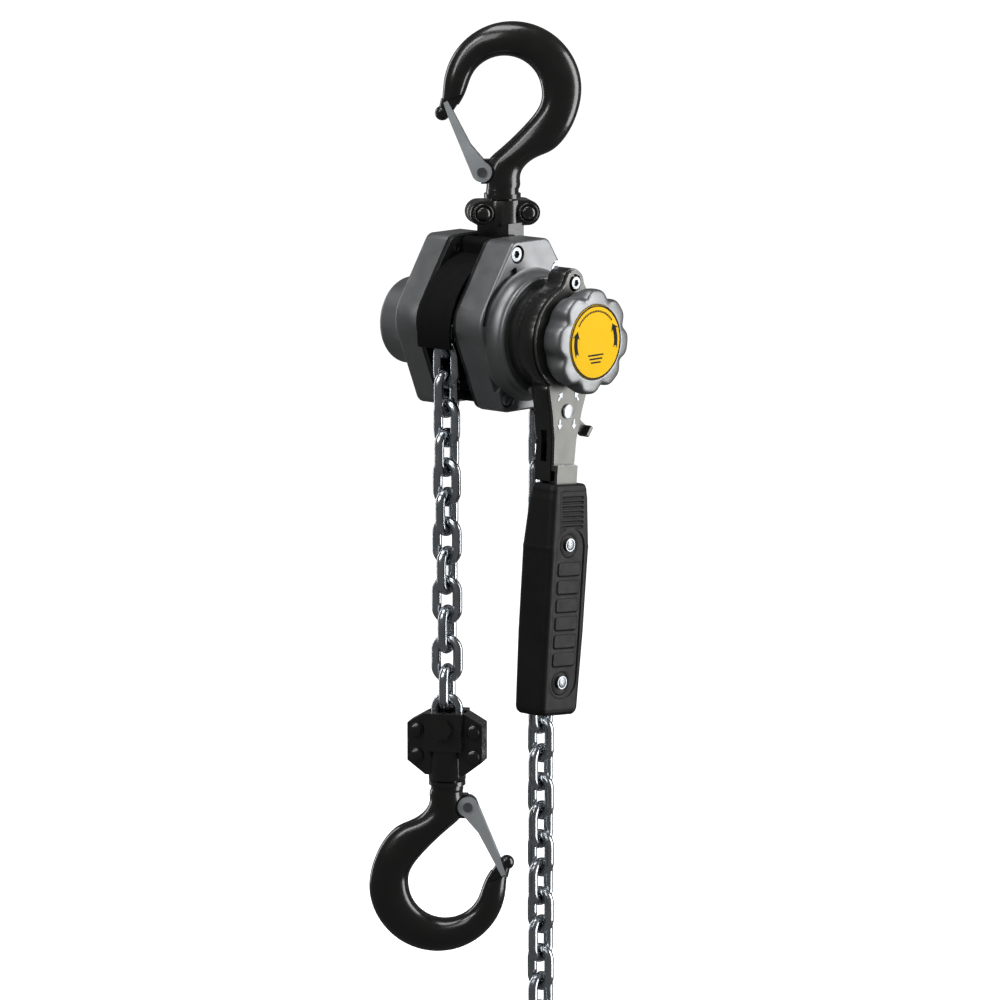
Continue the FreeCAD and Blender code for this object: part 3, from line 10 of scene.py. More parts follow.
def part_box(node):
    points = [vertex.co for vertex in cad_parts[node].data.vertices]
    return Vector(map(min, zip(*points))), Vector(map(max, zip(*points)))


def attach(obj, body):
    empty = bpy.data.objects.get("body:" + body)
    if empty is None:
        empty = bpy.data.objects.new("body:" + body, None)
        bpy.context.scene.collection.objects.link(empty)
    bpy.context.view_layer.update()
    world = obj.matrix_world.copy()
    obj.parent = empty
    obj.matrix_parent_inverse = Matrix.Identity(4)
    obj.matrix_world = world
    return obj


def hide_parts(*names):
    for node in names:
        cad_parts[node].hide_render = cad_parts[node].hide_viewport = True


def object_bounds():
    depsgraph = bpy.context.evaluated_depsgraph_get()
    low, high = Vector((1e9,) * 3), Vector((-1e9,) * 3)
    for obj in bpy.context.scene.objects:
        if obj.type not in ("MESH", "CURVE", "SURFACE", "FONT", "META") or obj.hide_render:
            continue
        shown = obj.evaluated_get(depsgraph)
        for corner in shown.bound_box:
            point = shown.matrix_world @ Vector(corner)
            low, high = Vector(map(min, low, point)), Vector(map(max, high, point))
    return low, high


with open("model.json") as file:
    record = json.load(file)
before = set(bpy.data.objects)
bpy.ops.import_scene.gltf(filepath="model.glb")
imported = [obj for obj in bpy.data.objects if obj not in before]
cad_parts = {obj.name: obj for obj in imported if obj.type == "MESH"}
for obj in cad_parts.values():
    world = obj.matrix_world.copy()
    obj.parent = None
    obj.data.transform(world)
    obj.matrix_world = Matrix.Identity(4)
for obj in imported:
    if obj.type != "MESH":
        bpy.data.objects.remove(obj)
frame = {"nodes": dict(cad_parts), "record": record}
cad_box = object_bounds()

# The looks of a lever chain hoist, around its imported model.  Metres, in the model's own frame:
# the shaft runs along Y, the hand wheel faces -Y, +Z is up and the load chain hangs at -X.

MM = 0.001
NODES = frame["nodes"]


# ---------------------------------------------------------------- camera, lights, stage

def look_along(obj, location, target):
    obj.location = location
    obj.rotation_euler = (Vector(target) - Vector(location)).to_track_quat("-Z", "Y").to_euler()


def view_axes(azimuth, elevation):
    """Right, up and back of a level view; azimuth 0 looks along +Y."""
    a, e = math.radians(azimuth), math.radians(elevation)
    right = Vector((math.cos(a), math.sin(a), 0))
    back = Vector((math.sin(a) * math.cos(e), -math.cos(a) * math.cos(e), math.sin(e)))
    return right, back.cross(right), back


VIEW_AZIMUTH, VIEW_ELEVATION = -47.5, 9.35      # degrees
VIEW_DISTANCE, VIEW_WIDTH = 4.5, 0.7042         # metres, the width at the target
SENSOR, CLIP_END = 36.0, 60                     # millimetres, metres
RIGHT, UP, BACK = view_axes(VIEW_AZIMUTH, VIEW_ELEVATION)
TARGET = RIGHT * 0.0098 - UP * 0.1207           # the middle of the view, from the shaft's centre

# (name, offset along the view's right, up and back, width and height, watts)
SOFTBOXES = [("key_right", (1.75, 0.15, 0.25), (0.9, 2.2), 42),
             ("top", (-0.3, 2.0, 0.7), (1.4, 0.8), 22),
             ("strip_left", (-1.2, 0.9, 1.1), (0.30, 1.2), 9),
             ("rim_left", (-1.5, 0.5, -1.1), (0.4, 1.8), 9),
             ("front_fill", (-1.0, 1.5, 2.4), (1.2, 1.2), 15)]
WORLD_STRENGTH = 0.12

STAGE_DROP = 0.06                               # the floor's depth below the model
STAGE_FLAT, STAGE_CURVE = 6.0, 3.0              # radius of the flat floor, radius of its upward curve
STAGE_STEPS, STAGE_AROUND = 16, 64


def add_camera():
    data = bpy.data.cameras.new("camera")
    data.sensor_width = SENSOR
    data.lens = SENSOR * VIEW_DISTANCE / VIEW_WIDTH
    data.clip_end = CLIP_END
    camera = bpy.data.objects.new("camera", data)
    bpy.context.scene.collection.objects.link(camera)
    look_along(camera, TARGET + BACK * VIEW_DISTANCE, TARGET)
    bpy.context.scene.camera = camera


def add_softbox(name, offset, size, watts):
    """An area light at an offset given along the view's right, up and back."""
    data = bpy.data.lights.new(name, "AREA")
    data.shape = "RECTANGLE"
    data.size, data.size_y = size
    data.energy = watts
    light = bpy.data.objects.new(name, data)
    bpy.context.scene.collection.objects.link(light)
    place = TARGET + RIGHT * offset[0] + UP * offset[1] + BACK * offset[2]
    look_along(light, place, TARGET)


def add_lights():
    for softbox in SOFTBOXES:
        add_softbox(*softbox)
    world = bpy.data.worlds.new("studio")
    world.use_nodes = True
    background = world.node_tree.nodes["Background"]
    background.inputs["Color"].default_value = (1, 1, 1, 1)
    background.inputs["Strength"].default_value = WORLD_STRENGTH
    bpy.context.scene.world = world
    bpy.context.scene.view_settings.view_transform = "Standard"


def add_stage():
    """A pale floor that curves up into a backdrop on every side."""
    floor_z = cad_box[0][2] - STAGE_DROP
    profile = [(0.0, floor_z), (STAGE_FLAT, floor_z)]
    for step in range(1, STAGE_STEPS + 1):
        turn = math.pi / 2 * step / STAGE_STEPS
        profile.append((STAGE_FLAT + STAGE_CURVE * math.sin(turn),
                        floor_z + STAGE_CURVE * (1 - math.cos(turn))))
    profile.append((STAGE_FLAT + STAGE_CURVE, floor_z + 3 * STAGE_CURVE))
    stage = spun("stage", profile, STAGE_AROUND, axis="Z")
    stage.visible_glossy = False
    stage.visible_diffuse = False
    stage.data.materials.append(stage_paint())


# ---------------------------------------------------------------- node helpers

NOISE_LOW, NOISE_HIGH = 0.3, 0.7


def new_material(name):
    material = bpy.data.materials.new(name)
    material.use_nodes = True
    tree = material.node_tree
    return material, tree, tree.nodes["Principled BSDF"]


def add(tree, kind, **values):
    made = tree.nodes.new(kind)
    for key, value in values.items():
        if key in made.inputs:
            made.inputs[key].default_value = value
        else:
            setattr(made, key, value)
    return made


def coords(tree):
    return add(tree, "ShaderNodeTexCoord").outputs["Object"]


def noise(tree, scale, detail=3.0, roughness=0.55, stretch=None):
    """Noise in the object's own metres, stretched along its axes when asked."""
    made = add(tree, "ShaderNodeTexNoise", Scale=scale, Detail=detail, Roughness=roughness)
    source = coords(tree)
    if stretch:
        mapping = add(tree, "ShaderNodeMapping", Scale=stretch)
        tree.links.new(source, mapping.inputs["Vector"])
        source = mapping.outputs["Vector"]
    tree.links.new(source, made.inputs["Vector"])
    return made.outputs["Fac"]


def ramp(tree, value, low, high, colours):
    """Blend two colours as a value goes from low to high."""
    made = add(tree, "ShaderNodeValToRGB")
    elements = made.color_ramp.elements
    elements[0].position, elements[1].position = low, high
    elements[0].color, elements[1].color = [(*c, 1) for c in colours]
    tree.links.new(value, made.inputs["Fac"])
    return made.outputs["Color"]


def spread(tree, value, low, high):
    """Map noise, most of which lies between NOISE_LOW and NOISE_HIGH, to a range."""
    made = add(tree, "ShaderNodeMapRange")
    made.inputs["From Min"].default_value = NOISE_LOW
    made.inputs["From Max"].default_value = NOISE_HIGH
    made.inputs["To Min"].default_value = low
    made.inputs["To Max"].default_value = high
    tree.links.new(value, made.inputs["Value"])
    return made.outputs["Result"]


def bump(tree, shader, layers):
    """Stack bumps: (height, depth in metres, strength)."""
    normal = None
    for height, depth, strength in layers:
        made = add(tree, "ShaderNodeBump", Distance=depth, Strength=strength)
        tree.links.new(height, made.inputs["Height"])
        if normal:
            tree.links.new(normal, made.inputs["Normal"])
        normal = made.outputs["Normal"]
    tree.links.new(normal, shader.inputs["Normal"])


def shade(colour, factor):
    return tuple(c * factor for c in colour)


# ---------------------------------------------------------------- materials

def stage_paint():
    material, tree, shader = new_material("stage_paint")
    greys = (0.93, 0.93, 0.93), (0.95, 0.95, 0.95)
    tint = ramp(tree, noise(tree, 0.8), NOISE_LOW, NOISE_HIGH, greys)
    tree.links.new(tint, shader.inputs["Base Color"])
    tree.links.new(tint, shader.inputs["Emission Color"])
    shader.inputs["Emission Strength"].default_value = 1.0
    shader.inputs["Roughness"].default_value = 0.9
    return material


def varied(colour, variation):
    """A darker and a lighter shade of a colour."""
    return shade(colour, 1 - variation), shade(colour, 1 + variation)


def paint(name, colour, rough, grain, grain_depth, variation=0.12, coat=0.0, metallic=0.0):
    """Paint or powder coat: mottled colour and gloss over a fine cast or sprayed grain."""
    mottle_scale, gloss_scale, wave_scale = 45, 90, 60
    material, tree, shader = new_material(name)
    mottle = noise(tree, mottle_scale, 4)
    tint = ramp(tree, mottle, NOISE_LOW, NOISE_HIGH, varied(colour, variation))
    tree.links.new(tint, shader.inputs["Base Color"])
    gloss = spread(tree, noise(tree, gloss_scale, 4), rough * 0.85, rough * 1.15)
    tree.links.new(gloss, shader.inputs["Roughness"])
    shader.inputs["Metallic"].default_value = metallic
    shader.inputs["Coat Weight"].default_value = coat
    shader.inputs["Coat Roughness"].default_value = 0.08
    bump(tree, shader, [(noise(tree, grain, 3), grain_depth, 0.35),
                        (noise(tree, wave_scale, 2), grain_depth, 0.15)])
    return material


def metal(name, colour, rough, scale=220, stretch=None, depth=0.00004, stain=None):
    """Bare or plated metal: streaked gloss, and stained patches that are darker unless given."""
    patch_scale = 120
    material, tree, shader = new_material(name)
    shader.inputs["Metallic"].default_value = 1.0
    patches = noise(tree, patch_scale, 5, 0.6)
    dark = stain or shade(colour, 0.75)
    tree.links.new(ramp(tree, patches, 0.36, 0.62, (dark, colour)), shader.inputs["Base Color"])
    streaks = noise(tree, scale, 4, 0.6, stretch)
    tree.links.new(spread(tree, streaks, rough * 0.7, rough * 1.3), shader.inputs["Roughness"])
    bump(tree, shader, [(streaks, depth, 0.3)])
    return material


def moulded(name, colour, rough, pebble=900, depth=0.00006, variation=0.22, gloss=0.5):
    """Moulded plastic or rubber with a fine leathery pebble."""
    mottle_scale, gloss_scale = 30, 150
    material, tree, shader = new_material(name)
    cells = add(tree, "ShaderNodeTexVoronoi", Scale=pebble)
    tree.links.new(coords(tree), cells.inputs["Vector"])
    mottle = noise(tree, mottle_scale, 3)
    tint = ramp(tree, mottle, NOISE_LOW, NOISE_HIGH, varied(colour, variation))
    tree.links.new(tint, shader.inputs["Base Color"])
    sheen = spread(tree, noise(tree, gloss_scale, 3), rough * 0.9, rough * 1.1)
    tree.links.new(sheen, shader.inputs["Roughness"])
    shader.inputs["Specular IOR Level"].default_value = gloss
    bump(tree, shader, [(cells.outputs["Distance"], depth, 0.3)])
    return material


def make_materials():
    return {
        "silver_cast": paint("silver_cast", (0.20, 0.205, 0.21), 0.42, 2600, 0.00002, 0.04,
                             metallic=0.8),
        "black_plate": paint("black_plate", (0.010, 0.010, 0.010), 0.32, 1500, 0.00003),
        "black_steel": paint("black_steel", (0.010, 0.0095, 0.009), 0.26, 1300, 0.00004, coat=0.3),
        "forged_black": paint("forged_black", (0.008, 0.0075, 0.007), 0.24, 500, 0.00006, coat=0.35),
        "lever_steel": paint("lever_steel", (0.115, 0.115, 0.108), 0.38, 2400, 0.00001, 0.04,
                             metallic=0.85),
        # bright metal for the lever plate's rounded edges: a painted highlight line along them
        "edge_highlight_metal": metal("edge_highlight_metal", (0.75, 0.76, 0.77), 0.25),
        "zinc_steel": metal("zinc_steel", (0.34, 0.36, 0.38), 0.34, 120, None, 0.00001),
        "machined_steel": metal("machined_steel", (0.42, 0.42, 0.43), 0.32, 300, (1, 12, 1)),
        "bronze_bush": metal("bronze_bush", (0.50, 0.34, 0.14), 0.35),
        "zinc_chain": metal("zinc_chain", (0.50, 0.53, 0.56), 0.24, 160, None, 0.00001,
                            (0.40, 0.43, 0.46)),
        # darker than the parts' real black: painted shade for the parts between the side plates
        "painted_shade_black": moulded("painted_shade_black", (0.004, 0.004, 0.004), 0.7, 1300, 0.00002, 0.2, 0.1),
        "zinc_sheet": paint("zinc_sheet", (0.60, 0.64, 0.66), 0.34, 40, 0.000004, 0.05,
                            metallic=0.55),
        "spring_steel": metal("spring_steel", (0.62, 0.58, 0.38), 0.25),
        "friction_lining": moulded("friction_lining", (0.20, 0.14, 0.10), 0.8, 1200),
        "black_grip": moulded("black_grip", (0.007, 0.007, 0.007), 0.5, gloss=0.22),
        "yellow_label": moulded("yellow_label", (1.0, 0.60, 0.002), 0.5, 2500, 0.00001, 0.02, 0.1),
        "label_ink": moulded("label_ink", (0.006, 0.006, 0.010), 0.6, 2500, 0.00001, 0.1, 0.15),
    }


# ---------------------------------------------------------------- mesh helpers

def meshed(name, verts, faces):
    """An object with a new mesh of the given points and faces."""
    mesh = bpy.data.meshes.new(name)
    mesh.from_pydata(verts, [], faces)
    mesh.update()
    obj = bpy.data.objects.new(name, mesh)
    bpy.context.scene.collection.objects.link(obj)
    return obj


def band_faces(rows, around):
    """The quads between closed rows of points, each row with the same count around."""
    faces = []
    for row in range(rows - 1):
        a, b = row * around, (row + 1) * around
        for i in range(around):
            j = (i + 1) % around
            faces.append((a + i, a + j, b + j, b + i))
    return faces


def smooth_faces(obj, smooth=True):
    for polygon in obj.data.polygons:
        polygon.use_smooth = smooth


def spun(name, profile, around, axis="Y"):
    """A surface turned about an axis from (radius, height) points."""
    verts = []
    for radius, height in profile:
        for i in range(around):
            turn = 2 * math.pi * i / around
            c, s = radius * math.cos(turn), radius * math.sin(turn)
            verts.append((c, s, height) if axis == "Z" else (c, height, s))
    obj = meshed(name, verts, band_faces(len(profile), around))
    smooth_faces(obj)
    return obj


def flat_prism(name, outline, z_low, z_high):
    """A straight prism over a closed outline of (x, y) points, wound anticlockwise."""
    count = len(outline)
    verts = [(x, y, z) for z in (z_low, z_high) for x, y in outline]
    faces = [tuple(reversed(range(count))), tuple(range(count, 2 * count))]
    faces += [(i, (i + 1) % count, count + (i + 1) % count, count + i) for i in range(count)]
    return meshed(name, verts, faces)


def place(obj, matrix):
    """Write a transform into the mesh, so that the object stays at the origin."""
    obj.data.transform(matrix)
    if matrix.determinant() < 0:
        obj.data.flip_normals()
    obj.data.update()
    return obj


def finish_piece(obj, body, material, replaced=()):
    obj.data.materials.clear()
    obj.data.materials.append(MATERIALS[material])
    if replaced:
        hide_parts(*replaced)
    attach(obj, body)
    return obj


def smoothstep(low, high, value):
    share = min(max((value - low) / (high - low), 0.0), 1.0)
    return share * share * (3 - 2 * share)


def facing_front(y):
    """From drawing axes (x right, y up, z towards the viewer) to the model's frame, at one Y."""
    return Matrix(((1, 0, 0, 0), (0, 0, -1, y), (0, 1, 0, 0), (0, 0, 0, 1)))


# ---------------------------------------------------------------- hand wheel

WHEEL_LOBES, WHEEL_PHASE = 8, math.radians(15.5)
WHEEL_NOTCH, WHEEL_NARROWING = 4.4 * MM, 2.6    # the valleys' depth, and a power that narrows them
WHEEL_AROUND = 320
LABEL_GAP = 0.3 * MM                            # between the label and the recess that holds it


def wheel_profile(outer, recess):
    """The wheel's section, from its bore at the back to the nut's well at the front.

    A point is (radius in metres, depth behind the front face in millimetres, share of the lobing).
    """
    bore, hub, well, shaft = 12.0 * MM, 17.0 * MM, 11.0 * MM, 6.0 * MM
    back = [(bore, 26.8, 0), (hub, 26.8, 0), (hub + 0.5 * MM, 22.0, 0), (hub + 1.0 * MM, 20.6, 0),
            (outer * 0.80, 20.3, 0.1), (outer * 0.86, 19.6, 0.3), (outer * 0.90, 18.0, 0.5)]
    side = [(outer * 0.945, 15.0, 0.75), (outer * 0.985, 11.0, 0.95), (outer, 7.5, 1.0),
            (outer * 0.995, 4.5, 1.0), (outer * 0.985, 2.6, 1.0)]
    front = [(outer * 0.965, 1.5, 0.97), (outer * 0.935, 0.9, 0.92), (outer * 0.88, 0.45, 0.75),
             (outer * 0.80, 0.15, 0.35), (recess + 1.2 * MM, 0.0, 0.05)]
    face = [(recess + 0.3 * MM, 0.05, 0), (recess, 0.35, 0), (recess, 1.2, 0), (bore, 1.2, 0),
            (well, 7.0, 0), (shaft, 7.0, 0)]
    return back + side + front + face


def wheel_parts():
    """The lobed hand wheel, with the label in its face."""
    low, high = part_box("hand_wheel")
    label_low, label_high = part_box("wheel_label")
    label_radius = (label_high.x - label_low.x) / 2
    profile = wheel_profile((high.x - low.x) / 2, label_radius + LABEL_GAP)
    verts = []
    for radius, depth, share in profile:
        for i in range(WHEEL_AROUND):
            turn = 2 * math.pi * i / WHEEL_AROUND
            wave = 0.5 + 0.5 * math.cos(WHEEL_LOBES * (turn - WHEEL_PHASE))
            r = radius - WHEEL_NOTCH * share * wave ** WHEEL_NARROWING
            verts.append((r * math.cos(turn), low.y + depth * MM, r * math.sin(turn)))
    wheel = meshed("hand_wheel_cast", verts, band_faces(len(profile), WHEEL_AROUND))
    smooth_faces(wheel)
    subdivision = wheel.modifiers.new("smooth", "SUBSURF")
    subdivision.levels = subdivision.render_levels = 1
    finish_piece(wheel, "drive", "silver_cast", ["hand_wheel"])
    label_disc(label_low.y, label_radius)
    label_print(label_low.y, label_radius)


def arc_points(radius, start, stop, steps):
    """Points along an arc, from start to stop degrees."""
    turns = [math.radians(start + (stop - start) * i / steps) for i in range(steps + 1)]
    return [(radius * math.cos(t), radius * math.sin(t)) for t in turns]


def ring_outline(inner, outer, start, stop, steps):
    return arc_points(outer, start, stop, steps) + arc_points(inner, start, stop, steps)[::-1]


def arrow_outline(middle, half, start, stop, head):
    """A curved arrow from start to stop degrees, with a notched tail and a barbed head."""
    steps, barb_lag, tail_notch, barb_reach = 14, 2, 6, 2.1 * half
    way = 1 if stop > start else -1

    def point(radius, degrees):
        turn = math.radians(degrees)
        return radius * math.cos(turn), radius * math.sin(turn)

    points = arc_points(middle + half, start, stop, steps)
    points += [point(middle + barb_reach, stop - way * barb_lag), point(middle, stop + way * head),
               point(middle - barb_reach, stop - way * barb_lag)]
    points += arc_points(middle - half, start, stop, steps)[::-1]
    points.append(point(middle, start + way * tail_notch))
    return points if way > 0 else points[::-1]


def label_disc(face_y, radius):
    disc = spun("label_disc", [(0.1 * MM, 0.0), (radius * 0.5, 0.0), (radius * 0.97, 0.0),
                               (radius * 0.99, 0.05 * MM), (radius, 0.2 * MM), (radius, 1.1 * MM)], 128)
    place(disc, Matrix.Translation((0, face_y, 0)))
    finish_piece(disc, "drive", "yellow_label", ["wheel_label"])


def label_outlines(radius):
    """The print on the label: a rim, two curved arrows, a dashed arc and three bars; no lettering."""
    outlines = [ring_outline(radius * 0.955, radius * 0.995, 0, 359.9, 120)]
    arrow_radius, arrow_half, head = 20.8 * MM, 1.7 * MM, 12
    for start, stop in ((204, 166), (-16, 22)):
        outlines.append(arrow_outline(arrow_radius, arrow_half, start, stop, head))
    dash_inner, dash_outer = 21.0 * MM, 22.3 * MM
    first, dash, pitch, dashes = 40, 3.2, 4.6, 23
    for i in range(dashes):
        start = first + pitch * i
        outlines.append(ring_outline(dash_inner, dash_outer, start, start + dash, 4))
    bars, top, row_pitch, longest, taper, thick = 3, -9.5, 2.6, 8.0, 1.5, 1.1 * MM
    for i in range(bars):
        z, half = (top - row_pitch * i) * MM, (longest - taper * i) * MM
        outlines.append([(-half, z), (half, z), (half, z + thick), (-half, z + thick)])
    return outlines


def label_print(face_y, radius):
    proud = 0.12 * MM
    inks = [place(flat_prism("ink", outline, 0, proud), facing_front(face_y))
            for outline in label_outlines(radius)]
    finish_piece(joined("label_print", inks), "drive", "label_ink")


# ---------------------------------------------------------------- grip

LEVER_TILT = Matrix.Rotation(math.radians(5.0), 4, "Y")


def local_box(node):
    """A lever node's box in the lever's own upright axes."""
    inverse = LEVER_TILT.inverted()
    points = [inverse @ v.co for v in NODES[node].data.vertices]
    return (Vector([min(p[i] for p in points) for i in range(3)]),
            Vector([max(p[i] for p in points) for i in range(3)]))


def rounded_box_distance(x, z, x0, x1, z0, z1, radius):
    """Signed distance to a rounded rectangle: negative inside."""
    qx = abs(x - (x0 + x1) / 2) - (x1 - x0) / 2 + radius
    qz = abs(z - (z0 + z1) / 2) - (z1 - z0) / 2 + radius
    return math.hypot(max(qx, 0), max(qz, 0)) + min(max(qx, qz), 0) - radius


def inside(distance, edge):
    """1 inside a shape, 0 outside, with a moulded edge of the given width."""
    return 1 - smoothstep(-edge / 2, edge / 2, distance)


# The grip's front, in millimetres of the lever's upright axes.  A panel is (x0, x1, z0, z1).
PANEL, PANEL_ROUND, PANEL_DEPTH = (-14.2, 14.0, -251.0, -131.5), 13.0, 1.0
HEAD_PANEL, HEAD_PANEL_ROUND, HEAD_PANEL_DEPTH = (-11.5, 16.0, -135.0, -105.5), 3.0, 0.35
PADS, PAD_TOP, PAD_HEIGHT, PAD_PITCH, PAD_RISE = 6, -155.2, 9.6, 12.7, 0.85
PAD_SIDES, PAD_ROUND = (-11.5, 11.5), 2.2
SLOTS, SLOT_TOP, SLOT_HEIGHT, SLOT_PITCH, SLOT_DEPTH = 7, -109.6, 1.5, 3.4, 0.9
SLOT_SIDES, SLOT_ROUND = (-9.5, 12.5), 0.7
PANEL_EDGE, DETAIL_EDGE = 0.8, 0.9              # widths of the moulded edges
RING_IN, RING_OUT, RING_RISE = (7.0, 7.8), (8.4, 9.2), 0.55      # the raised ring round each screw
PAD_CLEAR = (9.0, 10.0)                         # a pad fades out this near to a screw


def grip_relief(x, z, screws):
    """How far the grip's front face is sunk, in millimetres, at (x, z) of the lever's axes."""
    panel = inside(rounded_box_distance(x, z, *PANEL, PANEL_ROUND), PANEL_EDGE)
    sunk = PANEL_DEPTH * panel
    near_screw = min(math.hypot(x - sx, z - sz) for sx, sz in screws)
    for i in range(PADS):
        top = PAD_TOP - PAD_PITCH * i
        to_pad = rounded_box_distance(x, z, *PAD_SIDES, top - PAD_HEIGHT, top, PAD_ROUND)
        sunk -= PAD_RISE * inside(to_pad, DETAIL_EDGE) * smoothstep(*PAD_CLEAR, near_screw)
    ring = smoothstep(*RING_IN, near_screw) * (1 - smoothstep(*RING_OUT, near_screw))
    sunk -= RING_RISE * ring
    for i in range(SLOTS):
        top = SLOT_TOP - SLOT_PITCH * i
        to_slot = rounded_box_distance(x, z, *SLOT_SIDES, top - SLOT_HEIGHT, top, SLOT_ROUND)
        sunk += SLOT_DEPTH * inside(to_slot, DETAIL_EDGE)
    head_panel = inside(rounded_box_distance(x, z, *HEAD_PANEL, HEAD_PANEL_ROUND), PANEL_EDGE)
    return sunk + HEAD_PANEL_DEPTH * head_panel * (1 - panel)


def grip_screw_spots():
    """The front ends of the grip's screws, in the lever's upright axes."""
    inverse = LEVER_TILT.inverted()
    spots = [(inverse @ centre) - Vector((0, reach, 0))
             for centre, axis, reach in solids_of("grip_screws")]
    front = min(spot.y for spot in spots)
    return [spot for spot in spots if spot.y < front + 2 * MM]


CROSS_TURN = math.radians(28)


def crossed_head(spot):
    """An oval screw head with a cross recess cut into it."""
    head = spun("grip_screw_head", [(0.02 * MM, 2.4 * MM), (4.2 * MM, 2.4 * MM), (4.2 * MM, 1.0 * MM),
                                    (3.9 * MM, 0.45 * MM), (3.0 * MM, 0.0), (1.6 * MM, -0.35 * MM),
                                    (0.02 * MM, -0.45 * MM)], 48)
    close_ends(head)
    arm, half = 2.1 * MM, 0.48 * MM
    cross = [(half, half), (half, arm), (-half, arm), (-half, half), (-arm, half), (-arm, -half),
             (-half, -half), (-half, -arm), (half, -arm), (half, -half), (arm, -half), (arm, half)]
    cutter = flat_prism("cutter", cross, -1.3 * MM, 1.0 * MM)
    place(cutter, facing_front(0) @ Matrix.Rotation(CROSS_TURN, 4, "Z"))
    recess = head.modifiers.new("recess", "BOOLEAN")
    recess.object, recess.operation, recess.solver = cutter, "DIFFERENCE", "EXACT"
    bpy.context.view_layer.objects.active = head
    bpy.ops.object.modifier_apply(modifier="recess")
    bpy.data.objects.remove(cutter, do_unlink=True)
    smooth_faces(head, False)
    return place(head, LEVER_TILT @ Matrix.Translation(spot))


def close_ends(obj):
    """Close the open ends of a spun piece and turn its faces outwards."""
    mesh = bmesh.new()
    mesh.from_mesh(obj.data)
    bmesh.ops.holes_fill(mesh, edges=[edge for edge in mesh.edges if edge.is_boundary])
    bmesh.ops.recalc_face_normals(mesh, faces=mesh.faces)
    mesh.to_mesh(obj.data)
    mesh.free()


def grip_screws():
    heads = [crossed_head(spot) for spot in grip_screw_spots()]
    finish_piece(joined("grip_screw_heads", heads), "lever", "zinc_steel")


# (share of the way from the foot to the top, share of the width, share of the depth)
GRIP_STATIONS = [(0.0, 0.80, 0.82), (0.006, 0.86, 0.88), (0.016, 0.895, 0.94), (0.03, 0.915, 0.965),
                 (0.36, 0.975, 1.0), (0.70, 0.99, 1.0), (0.728, 1.0, 1.0), (0.745, 0.985, 0.985),
                 (0.93, 0.90, 0.88), (0.975, 0.86, 0.84), (0.992, 0.83, 0.80), (1.0, 0.78, 0.74)]
ROUNDED_STATION = 0.1                           # stretches shorter than this are eased in and out
GRIP_STEP, GRIP_CORNER = 0.5, 4.6               # millimetres: between rows, and the corners' radius
FRONT_COUNT, SIDE_COUNT, CORNER_COUNT = 72, 10, 8


def grip_share(share, column):
    """The share of the width (column 0) or depth (column 1) at a share of the grip's height."""
    for (s0, *a), (s1, *b) in zip(GRIP_STATIONS, GRIP_STATIONS[1:]):
        if share <= s1:
            t = (share - s0) / (s1 - s0)
            if s1 - s0 < ROUNDED_STATION:
                t = smoothstep(0, 1, t)
            return a[column] + (b[column] - a[column]) * t
    return GRIP_STATIONS[-1][column + 1]


def grip_row(hx, hy, z, screws):
    """One closed row of (x, y) points, in millimetres: the front with its relief, then the rest."""
    corner = GRIP_CORNER
    wide, deep = 2 * hx - 2 * corner, 2 * hy - 2 * corner
    points = []
    for i in range(FRONT_COUNT + 1):
        x = -hx + corner + wide * i / FRONT_COUNT
        points.append((x, -hy + grip_relief(x, z, screws)))
    steps = [i / SIDE_COUNT for i in range(SIDE_COUNT + 1)]
    after_corner = {-90: [(hx, -hy + corner + deep * t) for t in steps],
                    0: [(hx - corner - wide * t, hy) for t in steps],
                    90: [(-hx, hy - corner - deep * t) for t in steps],
                    180: []}
    for cx, cy, start in ((hx - corner, -hy + corner, -90), (hx - corner, hy - corner, 0),
                          (-hx + corner, hy - corner, 90), (-hx + corner, -hy + corner, 180)):
        for i in range(1, CORNER_COUNT + 1):
            turn = math.radians(start + 90 * i / (CORNER_COUNT + 1))
            x = cx + corner * math.cos(turn)
            sink = grip_relief(x, z, screws) if cy < 0 else 0
            fade = max(0.0, -math.sin(turn)) ** 3
            points.append((x, cy + corner * math.sin(turn) + sink * fade))
        points += after_corner[start]
    return points


def grip_piece():
    """The moulded grip: rows of points from its foot to its top, closed at both ends."""
    low, high = local_box("lever_grip")
    foot, top = low.z / MM, high.z / MM
    y_mid = (low.y + high.y) / 2 / MM
    widest, deepest = (high.x - low.x) / MM, (high.y - low.y) / MM
    rows = int((top - foot) / GRIP_STEP)
    screws = [(spot.x / MM, spot.z / MM) for spot in grip_screw_spots()]
    verts = []
    for row in range(rows + 1):
        share = row / rows
        z = foot + (top - foot) * share
        half_width, half_depth = widest / 2 * grip_share(share, 0), deepest / 2 * grip_share(share, 1)
        points = grip_row(half_width, half_depth, z, screws)
        verts += [(x * MM, (y_mid + y) * MM, z * MM) for x, y in points]
    count = len(points)
    faces = band_faces(rows + 1, count)
    faces.append(tuple(reversed(range(count))))
    faces.append(tuple(range(rows * count, rows * count + count)))
    grip = meshed("grip_moulding", verts, faces)
    for polygon in grip.data.polygons:
        polygon.use_smooth = len(polygon.vertices) == 4
    place(grip, LEVER_TILT)
    finish_piece(grip, "lever", "black_grip", ["lever_grip"])


# ---------------------------------------------------------------- rivets and marks

SEAM = 0.002 * MM                               # points closer than this are one


